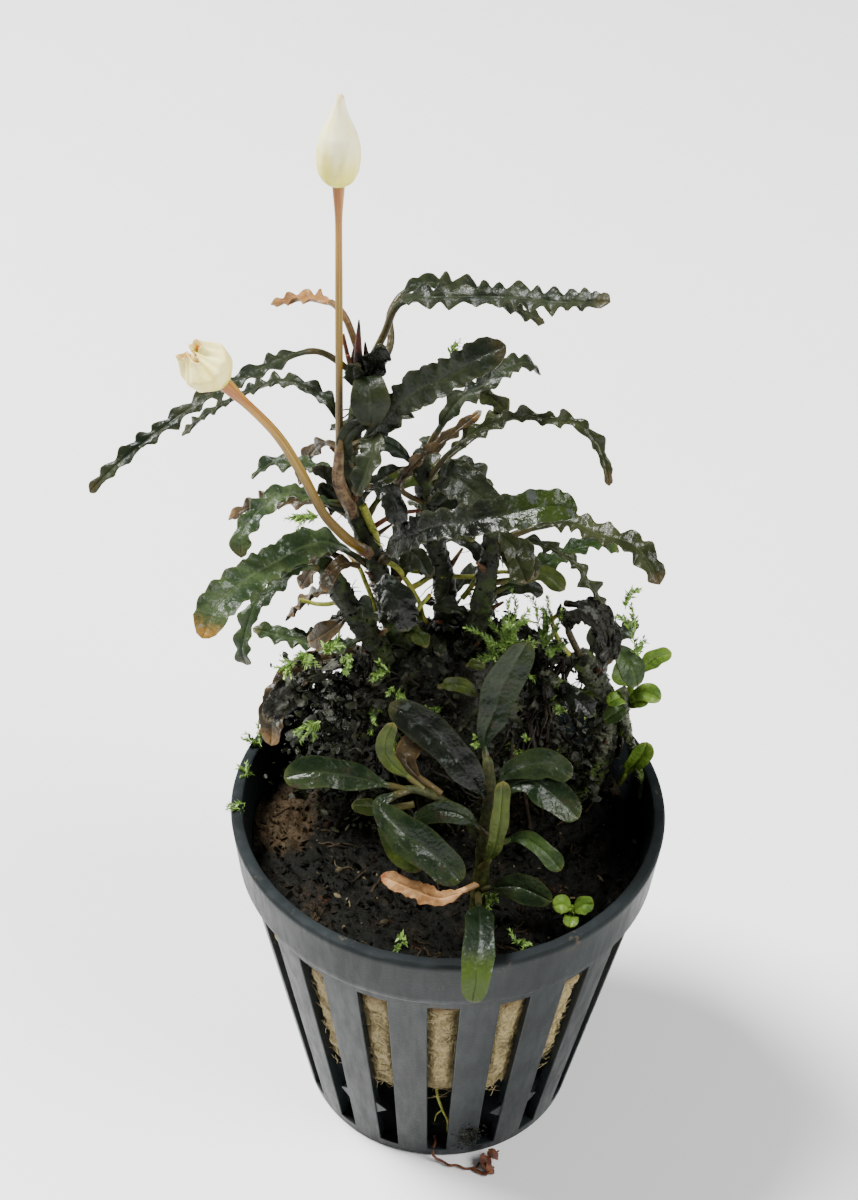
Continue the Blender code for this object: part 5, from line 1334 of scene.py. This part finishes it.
# A root that has grown out of the bottom slots and lies beside the pot's foot
POT_FOOT_ROOTS = [
    ([(-0.4, -16.2, 2.4), (-0.4, -17.6, 1.6), (0.2, -18.4, 0.6), (2.6, -19.2, 0.4), (4.6, -19.4, 0.3),
      (6.4, -18.2, 0.5), (7.8, -16.9, 0.7)], 0.2),
    ([(4.4, -19.3, 0.35), (5.6, -19.9, 0.3), (6.7, -20, 0.5), (7.4, -19.2, 0.4)], 0.26),
    ([(6.4, -18.2, 0.5), (6.6, -19.2, 0.5), (6.2, -20.4, 0.3)], 0.3),
]
POT_FOOT_SCRAPS = [((6.2, -18.8, 0.9), 1.1), ((6.8, -19.6, 0.7), 0.8), ((7.2, -17.9, 1.4), 0.8)]
SLOT_ROOTS = [
    ([(-0.4, -17.4, 15), (-0.2, -18.2, 13.6), (0.5, -17.8, 10.2), (1.2, -17.2, 7.2), (1.3, -16.6, 4)], 0.22),
    ([(0.5, -17.8, 10.2), (-0.2, -17.4, 8.6), (-0.4, -16.8, 6.4)], 0.12),
]


def make_pot_foot_roots():
    """A reddish root and a bit of dead leaf beside the pot's foot, and a pale root in the front slot."""
    draws = np.random.default_rng(68)
    shape = Shape()
    for line, radius in POT_FOOT_ROOTS:
        spine = wobbled(curve(line, 30), (0.14, 0.14, 0.05), 1.0, (4, 5, 6))
        spine[:, 2] = np.maximum(spine[:, 2], radius + FLOOR_GAP)
        add_tube(shape, spine, radius * np.linspace(1.0, 0.6, 30), 8, 0.9)
    for place, size in POT_FOOT_SCRAPS:
        up = unit(np.array([0, -0.5, 1.0]) + draws.normal(size=3) * 0.3)
        add_scrap(shape, np.array(place), up, size, draws)
    for points in shape.points:
        points[:, 2] = np.maximum(points[:, 2], FLOOR_GAP)
    piece("pot_foot_roots", shape, "red")
    shape = Shape()
    for line, radius in SLOT_ROOTS:
        add_tube(shape, curve(line, 24), radius * np.linspace(1.0, 0.5, 24), 8, 0.8)
    piece("slot_roots", shape, "young")


# Moss: fine shoots with tiny pointed leaves

MOSS = [
    # start, direction, length, shoots, spread
    ((6.4, 0.4, 69.6), (-0.15, 0.2, 1), 7.6, 9, 0.28),
    ((7, 0.8, 69.4), (0.4, 0.1, 0.9), 3.4, 4, 0.5),
    ((5, 0.6, 68.6), (-0.7, 0, 0.8), 3.2, 4, 0.5),
    ((10.2, 3, 68.5), (0.0, 0.25, 1), 7.4, 6, 0.28),
    ((10.6, 3, 67.6), (0.5, 0, 0.8), 3.6, 4, 0.5),
    ((7.5, 1.5, 66), (0, -0.4, 1), 2.4, 4, 1.0),
    ((-17, 0.6, 68.2), (0.3, -0.5, 0.8), 2.2, 5, 0.9),
    ((-14.4, 0.4, 69.6), (0.2, -0.4, 0.9), 2.4, 5, 0.9),
    ((-12, 0.6, 67.6), (0.1, -0.6, 0.6), 2.0, 4, 1.0),
    ((-18, 1.6, 66.6), (-0.8, -0.2, 0.3), 2.2, 4, 0.9),
    ((-15.2, -1.4, 60.2), (-0.9, -0.4, -0.1), 3.6, 4, 0.3),
    ((-15.5, 6, 84.2), (-1, 0, -0.1), 3.8, 5, 0.4),
    ((-16.5, 6.4, 79), (-1, 0, 0.1), 3.0, 4, 0.6),
    ((-1.5, 3, 107.4), (0.2, 0.2, 1), 1.8, 2, 0.4),
    ((20.6, 5.6, 69.4), (-0.25, 0, 1), 4.6, 2, 0.2),
    ((19.4, 5.2, 73), (0.05, 0, 1), 3.6, 2, 0.2),
    ((21.2, 5.8, 66.2), (0.3, 0, 1), 2.2, 4, 0.7),
    ((-24.6, -2, 46.6), (-0.6, -0.2, 0.7), 2.2, 4, 0.9),
    ((-23, 8, 46.8), (-0.5, 0.2, 1), 3.0, 4, 0.8),
    ((-24.4, 3, 46.8), (-0.8, 0, 0.5), 2.0, 3, 0.9),
    ((-2, -0.8, 62), (-0.2, -0.8, 0.5), 1.6, 5, 1.3),
    ((3, -1.2, 58), (0.2, -0.9, 0.4), 1.5, 4, 1.3),
    ((-6, -0.6, 64), (-0.2, -0.9, 0.5), 1.5, 5, 1.3),
    ((-6, 0, 56), (-0.3, -0.9, 0.3), 1.6, 5, 1.3),
    ((8, 0.5, 56), (0.4, -0.9, 0.3), 1.6, 4, 1.3),
    ((-9, 0.6, 60), (-0.5, -0.8, 0.3), 1.8, 5, 1.3),
    ((-8, 1, 66.4), (-0.5, -0.8, 0.6), 1.8, 5, 1.2),
    ((15.6, 5.2, 43), (-0.4, -0.9, 0.5), 1.2, 8, 1.2),
    ((13, 3.4, 50), (-0.2, -0.9, 0.5), 1.4, 4, 1.5),
    ((15.6, 5.2, 57), (-0.2, -0.9, 0.5), 1.4, 4, 1.5),
    ((12, 3, 60), (0.2, -0.6, 0.8), 2.6, 5, 1.2),
    ((-7, 10.5, 62), (-0.4, 0.8, 0.5), 2.6, 8, 1.2),
    ((4, 11, 61), (0.3, 0.9, 0.5), 2.6, 8, 1.2),
    ((10, 9, 62), (0.6, 0.6, 0.6), 2.8, 8, 1.2),
    ((-2, 11, 55), (-0.2, 1, 0.2), 2.4, 6, 1.2),
    ((4.5, -12.5, 43), (0.3, -0.6, 0.8), 1.6, 5, 1.2),
    ((-5, -17.5, 41.2), (0, -0.4, 1), 1.3, 3, 1.0),
    ((9, -19.5, 41.2), (0.1, -0.2, 1), 1.8, 3, 0.6),
    ((8.2, -18, 41.6), (0, -0.2, 1), 2.4, 2, 0.4),
    ((14, 14, 41), (0.2, 0.2, 1), 2.0, 6, 1.0),
    ((-12, 16, 41), (-0.2, 0.2, 1), 2.0, 6, 1.0),
]
SPINDLE = np.array([(0, 0, 0), (0.4, 0.22, 0.03), (0.4, -0.22, 0.03), (0.4, 0, -0.06), (1, 0, 0.1)])
SPINDLE_FACES = [[0, 2, 1], [0, 1, 3], [0, 3, 2], [4, 1, 2], [4, 3, 1], [4, 2, 3]]


def make_moss():
    draws = np.random.default_rng(55)
    shape = Shape()
    leaflets, sizes, frames = [], [], []
    for start, way, length, shoots, spread in MOSS:
        for _ in range(shoots):
            aim = unit(unit(np.array(way, float)) + draws.normal(size=3) * spread * 0.4)
            line = wandering(np.array(start) + draws.normal(size=3) * 0.4 * spread, aim,
                             length * draws.uniform(0.6, 1.05), draws, 0.28, 0.25, 12)
            add_tube(shape, line, 0.07 * np.linspace(1, 0.6, 12), 5, draws.uniform())
            along = unit(np.gradient(line, axis=0))
            for share in np.linspace(0.08, 1, max(12, int(length * 11))):
                spot = share * 11
                low = min(int(spot), 10)
                turn = draws.uniform(0, math.tau)
                axis = along[low]
                side = unit(np.cross(axis, (0.3, 0.5, 0.8)))
                front = np.cross(axis, side)
                out = unit(side * math.cos(turn) + front * math.sin(turn) + axis * draws.uniform(0.5, 1.1))
                across = unit(np.cross(axis, out))
                leaflets.append(line[low] + (line[low + 1] - line[low]) * (spot - low))
                sizes.append(draws.uniform(0.5, 0.95) * (1.1 - 0.4 * share))
                frames.append(np.stack([out, across, np.cross(out, across)]))
    scatter(shape, np.array(leaflets), np.array(sizes), draws, 1.0, np.array(frames), SPINDLE, SPINDLE_FACES)
    piece("moss", shape, "moss")


# The soil's crust and the rockwool under it

SOIL_EDGE_HEIGHT = 41.0
TAN_X, TAN_Y = -19.4, 1.0


def wall_inner_radius(z):
    return np.interp(z, [WALL, BAND_LOW, POT_HEIGHT],
                     [BASE_RADIUS - WALL, BODY_TOP_RADIUS - WALL, RIM_RADIUS - RIM_WIDTH])


def wall_outer_radius(z):
    return np.interp(z, [0, BAND_LOW], [BASE_RADIUS, BODY_TOP_RADIUS])


SOIL_EDGE = wall_inner_radius(SOIL_EDGE_HEIGHT) - 0.05


def crust_height(x, y):
    lumps = np.sin(0.55 * x + 1.1) * np.cos(0.48 * y - 0.4) + 0.5 * np.sin(1.1 * x - 0.96 * y)
    flat = np.stack([x, y, 0 * x], -1)
    rough = 0.4 * field(flat, 3.5, 71, 2) + 0.32 * field(flat, 1.3, 72, 2) + 0.14 * field(flat, 0.5, 73, 2)
    heap = 0.9 * np.exp(-((x + 14) ** 2 + (y + 8) ** 2) / 40)
    hollow = 0.5 * np.exp(-((x - 16) ** 2 + (y - 2) ** 2) / 60)
    return CRUST_TOP + 0.36 * lumps - 0.02 * x + rough + (heap - hollow)


def tan_patch(points):
    """How much of the dry tan patch, at the left of the soil, lies at each point."""
    far = np.hypot(points[..., 0] - TAN_X, 0.62 * (points[..., 1] - TAN_Y))
    return eased(-far - 1.1 * field(points, 2.2, 75, 3), -4.4, -1.6)


def make_soil():
    rows, columns = 82, 240
    turn = turns_of(columns)
    radius = SOIL_EDGE * np.linspace(1, 0.012, rows)[:, None] ** 0.8
    x, y = radius * np.cos(turn), radius * np.sin(turn)
    top = np.stack([x, y, crust_height(x, y)], -1)
    points = np.concatenate([top[:1] * (1, 1, 0) + (0, 0, WOOL_HIGH + 0.3), top])
    shape = Shape()
    shape.add_rings(points, along=tan_patch(points))
    piece("soil_crust_fine", shape, "soil", ("soil_crust",))


def make_soil_grains():
    """Loose grains on the crust, and threads of root and dead moss."""
    draws = np.random.default_rng(81)
    radius = SOIL_EDGE * np.sqrt(draws.uniform(0, 1, SOIL_GRAINS))
    turn = draws.uniform(0, math.tau, SOIL_GRAINS)
    x, y = radius * np.cos(turn), radius * np.sin(turn)
    size = 0.12 + 0.55 * draws.uniform(0, 1, SOIL_GRAINS) ** 3
    places = np.stack([x, y, crust_height(x, y) + 0.2 * size], -1)
    places[:, :2] *= np.minimum(1, (SOIL_EDGE - size) / np.maximum(radius, 0.1))[:, None]
    shape = Shape()
    scatter(shape, places, size, draws, 1.1)
    shape.coords[-1][:, 1] = tan_patch(shape.points[-1])
    for _ in range(SOIL_THREADS):
        radius, turn = SOIL_EDGE * 0.93 * math.sqrt(draws.uniform()), draws.uniform(0, math.tau)
        way = unit(np.array([draws.normal(), draws.normal(), 0.0]))
        line = outward(turn) * radius + way * np.linspace(0, draws.uniform(1.5, 4), 12)[:, None]
        line[:, :2] += 0.3 * field(line, 1.5, int(draws.integers(99)), 1)[:, None]
        far = np.linalg.norm(line[:, :2], axis=1, keepdims=True)
        line[:, :2] *= np.minimum(1, (SOIL_EDGE - 0.3) / np.maximum(far, 0.1))
        line[:, 2] = crust_height(line[:, 0], line[:, 1]) + 0.12
        add_tube(shape, line, draws.uniform(0.06, 0.16), 5, draws.uniform())
    piece("soil_grains", shape, "soil")


def make_rockwool():
    """The plug, puffed out a little through each slot, with loose fibres on it."""
    rows, columns = 60, 324
    z = np.linspace(WOOL_LOW, WOOL_HIGH, rows)[:, None]
    turn = turns_of(columns)
    radius = wall_inner_radius(z) - WOOL_GAP + 0 * turn
    skin = polar(radius, turn, z)
    puff = 0.28 * field(skin, 2.2, 91, 2) + 0.16 * field(skin, 0.8, 92, 2)
    off_slot = ((turn - FRONT_TURN) * SLOT_COUNT / math.tau + 0.5) % 1 - 0.5
    off_slot = np.abs(off_slot) * math.tau / SLOT_COUNT * radius
    bulge = eased(slot_half_width(z) - off_slot, 0.1, 0.75) * eased(SLOT_HIGH - z, 0.1, 1.5)
    puff = puff + WOOL_PUFF * bulge * eased(z, WOOL_LOW, WOOL_LOW + 5)
    skin = skin * (1 + puff / radius)[..., None] ** np.array([1, 1, 0])
    skin[..., 2] += 0.5 * field(skin, 2.0, 93, 2) * eased(-z, -WOOL_LOW - 2, -WOOL_LOW)
    shape = Shape()
    shape.add_rings(skin)
    draws = np.random.default_rng(95)
    for _ in range(WOOL_FIBRES):
        turn, z = draws.uniform(0, math.tau), draws.uniform(WOOL_LOW - 0.3, WOOL_HIGH - 2)
        turn = (round(turn * SLOT_COUNT / math.tau) + draws.uniform(-0.16, 0.16)) * math.tau / SLOT_COUNT
        out = outward(turn + FRONT_TURN)
        way = np.array([-out[1], out[0], 0]) * draws.normal() + (0, 0, draws.normal() * 0.9)
        start = out * wall_inner_radius(z) + (0, 0, z)
        line = wandering(start, way, draws.uniform(1.0, 2.8), draws, 0.4, 0.0, 5)
        reach = wall_inner_radius(line[:, 2]) + draws.uniform(0.15, 0.6)
        line[:, :2] *= (reach / np.linalg.norm(line[:, :2], axis=1))[:, None]
        add_tube(shape, line, draws.uniform(0.02, 0.045), 3, draws.uniform())
    piece("rockwool_fine", shape, "wool", ("rockwool",))


# The net pot

COLUMNS_A_SLOT = 12  # three of them across the slot, nine across the rib beside it


def slot_half_width(z):
    return np.interp(z, [SLOT_LOW, SLOT_HIGH], [SLOT_WIDTH_LOW / 2, SLOT_WIDTH_HIGH / 2])


def pot_ring(radius, z, low):
    """One ring of the wall, with columns on both edges of each slot."""
    half = math.asin(slot_half_width(z) / radius)
    inside = np.linspace(-half, half, 4)
    rib = np.linspace(half, SLOT_TURN - half, COLUMNS_A_SLOT - 2)[1:-1]
    turns = np.concatenate([inside, rib])[None, :] + np.arange(SLOT_COUNT)[:, None] * SLOT_TURN + FRONT_TURN
    return polar(radius, turns.ravel(), low)


def make_pot():
    """The wall as an outer and an inner skin with slots between ribs, the rim band and the base."""
    columns = SLOT_COUNT * COLUMNS_A_SLOT
    foot, step, rounded = 0.35, BAND_LOW + 0.02, BAND_LOW + 0.5
    heights = [0.0, foot, 0.9, *np.linspace(SLOT_LOW, SLOT_HIGH, 16), 38.2, 38.9]
    heights += [BAND_LOW, step, rounded]
    heights += [*np.linspace(BAND_LOW + 1.2, POT_HEIGHT - 0.5, 10), POT_HEIGHT - 0.2, POT_HEIGHT]
    outline_at = [0.0, foot, BAND_LOW, step, rounded, POT_HEIGHT - 0.3, POT_HEIGHT]
    band_foot = RIM_RADIUS - RIM_BAND_DRAFT
    outline_is = [BASE_RADIUS - foot, BASE_RADIUS + 0.05, BODY_TOP_RADIUS, band_foot - 0.25, band_foot,
                  RIM_RADIUS - 0.02, RIM_RADIUS - 0.3]
    outer, inner = [], []
    for z in heights:
        outer.append(pot_ring(np.interp(z, outline_at, outline_is), z, z))
        flare = 0.25 * max(z - POT_HEIGHT + 0.2, 0) / 0.2
        inner.append(pot_ring(wall_inner_radius(max(z, WALL)) + flare, z, max(z, WALL)))
    outer, inner = np.array(outer), np.array(inner)
    worn = np.minimum(0, 0.12 * field(outer[-1], 1.3, 7, 2) - 0.03)
    outer[-1, :, 2] += worn
    inner[-1, :, 2] += worn
    rows = len(heights)
    first_row, last_row = heights.index(SLOT_LOW), heights.index(SLOT_HIGH)
    solid = np.ones((rows - 1, columns), bool)
    solid[first_row:last_row, np.arange(columns) % COLUMNS_A_SLOT < 3] = False
    shape = Shape()
    kept = grid_faces(rows, columns, True)[solid.ravel()]
    shape.add(outer, kept)
    shape.add(inner, kept[:, ::-1])
    size = rows * columns
    for row, column in zip(*np.nonzero(solid)):
        after = (column + 1) % columns
        a, b = int(row * columns + column), int(row * columns + after)
        c, d = a + columns, b + columns
        if row == rows - 2 or not solid[row + 1, column]:
            shape.faces.append([c, d, size + d, size + c])
        if row > 0 and not solid[row - 1, column]:
            shape.faces.append([b, a, size + a, size + b])
        if not solid[row, after]:
            shape.faces.append([d, b, size + b, size + d])
        if not solid[row, column - 1]:
            shape.faces.append([a, c, size + c, size + a])
    shape.faces.append(list(range(columns))[::-1])
    shape.faces.append([size + k for k in range(columns)])
    add_slot_tabs(shape)
    make_pot_dirt()
    pot = piece("pot_fine", shape, "plastic", ("pot",), 35)
    bevel = pot.modifiers.new("edges", "BEVEL")
    bevel.width = 0.12 * MM
    bevel.segments = 2
    bevel.limit_method = "ANGLE"
    bevel.angle_limit = math.radians(50)


def add_slot_tabs(shape):
    """Small triangular tabs low in two slots of every three, on the right and the left edge in turn."""
    sides = {1: 1, 2: -1}  # by the slot's number, counted in threes
    # Height, and share of the slot's half width
    corner_places = ((SLOT_TAB_LOW, 1.0), (SLOT_TAB_HIGH, 1.0), (SLOT_TAB_POINT, -0.1))
    for slot in range(SLOT_COUNT):
        side = sides.get(slot % 3)
        if not side:
            continue
        out = outward(slot * SLOT_TURN + FRONT_TURN)
        across = np.array([-out[1], out[0], 0]) * side
        corners = []
        for depth in (0.25, 1.0):
            for height, reach in corner_places:
                along_wall = reach * (slot_half_width(height) + 0.1)
                radius = wall_outer_radius(height) - depth
                corners.append(out * radius + across * along_wall + (0, 0, height))
        start = shape.count
        shape.add(corners, np.zeros((0, 3), int))
        for face in ([0, 1, 2], [5, 4, 3], [0, 3, 4, 1], [1, 4, 5, 2], [2, 5, 3, 0]):
            shape.faces.append([start + k for k in face[::side]])


def make_pot_dirt():
    """A patch of dried dirt on a rib low at the front."""
    draws = np.random.default_rng(87)
    height = draws.normal(5.2, 1.3, DIRT_GRAINS).clip(1.0, 8.5)
    turn = FRONT_TURN + draws.normal(0.21, 0.04, DIRT_GRAINS)
    shape = Shape()
    places = polar(wall_outer_radius(height), turn, height)
    scatter(shape, places, draws.uniform(0.06, 0.24, DIRT_GRAINS), draws, 0.4)
    piece("pot_dirt", shape, "scrap")


# The sprout of round leaves at the right and the seedling on the soil

SPROUTS = [
    # name, stem points, stem radius, leaflets as (points, width)
    ("right_sprout", [(20.8, 8, 51), (21, 8, 55.5), (21.3, 7.6, 59), (21.8, 7, 62)], 0.6, [
        ([(21.3, 7.6, 59), (20, 6, 62), (19.5, 5.5, 65)], 2.6),
        ([(21.8, 7, 61.5), (23.5, 7, 64), (25.5, 7, 65)], 2.2),
        ([(21, 8, 56.5), (19.8, 6.5, 58), (18.4, 6, 57.6)], 2.0),
        ([(21.2, 7.8, 57.5), (23, 6.5, 59), (24.8, 6, 58.5)], 2.4),
        ([(21, 8, 55.5), (22, 6.5, 57.6), (23.4, 6, 58.2)], 1.7),
    ]),
    ("seedling", [(14.5, -14, 40.2), (14.5, -14, 42.7), (14.5, -14, 44.2)], 0.35, [
        ([(14.4, -14.2, 43.7), (13.3, -14.4, 44.8), (12.2, -14.7, 44.7)], 2.2),
        ([(14.6, -14.1, 43.1), (15.8, -14.1, 44.4), (17, -14, 44.5)], 2.3),
        ([(14.5, -14.3, 42.5), (14.4, -15.3, 43.4), (14.2, -16.5, 43.2)], 2.0),
    ]),
]
# The right sprout's older, darker leaves: points and width
DARK_LEAFLETS = [
    ([(17.6, 6.6, 65), (19, 6, 65.9), (20.6, 5.2, 64.2), (21.6, 4.5, 61.8)], 3.3),
    ([(21, 7.4, 56), (19.8, 5.6, 56.8), (18.2, 5, 55.6)], 2.2),
]


def make_sprouts():
    for seed, (name, stem, radius, leaflets) in enumerate(SPROUTS):
        shape = Shape()
        add_tube(shape, curve(stem, 30), radius * np.linspace(1, 0.6, 30), 12)
        for k, (points, width) in enumerate(leaflets):
            add_leaf(shape, Leaf(name, "green", width, 0.05, 0.5, 0.12, points), 500 + 10 * seed + k)
        piece(name + "_fine", shape, "green", (name,))
    shape = Shape()
    for seed, (points, width) in enumerate(DARK_LEAFLETS):
        add_leaf(shape, Leaf("", "forest", width, 0.12, 0.7, 0.1, points), 560 + seed)
    piece("right_sprout_dark_leaves", shape, "forest")


# The studio


def make_floor():
    mesh = bpy.data.meshes.new("floor")
    reach, z = 3.0, -0.00002
    corners = [(-reach, -reach, z), (reach, -reach, z), (reach, reach, z), (-reach, reach, z)]
    mesh.from_pydata(corners, [], [(0, 1, 2, 3)])
    mesh.materials.append(floor_finish())
    linked("floor", mesh)


def turned(right, up, back):
    return Matrix(np.stack([right, up, back], 1).tolist()).to_euler()


def make_light(name, place, size, power):
    light = bpy.data.lights.new(name, "AREA")
    light.shape, light.size, light.energy = "DISK", size, power
    back = -unit(np.array(LIGHT_TARGET) - np.array(place))
    right = unit(np.cross((0, 0, 1), back))
    obj = linked(name, light)
    obj.location = place
    obj.rotation_euler = turned(right, np.cross(back, right), back)


def make_world():
    world = bpy.data.worlds.new("studio")
    world.use_nodes = True
    background = world.node_tree.nodes["Background"]
    background.inputs["Color"].default_value = (0.97, 0.98, 0.97, 1.0)
    background.inputs["Strength"].default_value = 0.2
    bpy.context.scene.world = world


def make_camera():
    down, roll = math.radians(CAMERA_DOWN), math.radians(CAMERA_ROLL)
    ahead = np.array([0, math.cos(down), -math.sin(down)])
    level, rise = np.array([1.0, 0, 0]), np.array([0, math.sin(down), math.cos(down)])
    right = math.cos(roll) * level + math.sin(roll) * rise
    up = -math.sin(roll) * level + math.cos(roll) * rise
    camera = bpy.data.cameras.new("camera")
    camera.sensor_width = SENSOR
    camera.lens = SENSOR * FOCAL_PIXELS / FRAME_PIXELS
    camera.clip_start = 0.01
    obj = linked("camera", camera)
    obj.location = np.array(CAMERA_PLACE) * MM
    obj.rotation_euler = turned(right, up, -ahead)
    bpy.context.scene.camera = obj


make_pot()
make_rockwool()
make_soil()
make_soil_grains()
make_root_mass()
make_mass_litter()
make_roots()
make_mossy_columns()
make_pot_foot_roots()
make_stems()
make_leaves()
make_filling_leaves()
make_sprouts()
make_flowers()
make_moss()
make_floor()
make_light("key", (-0.45, 0.15, 0.80), 0.32, 30.0)
make_light("fill", (0.60, -0.30, 0.60), 0.5, 11.0)
make_world()
make_camera()
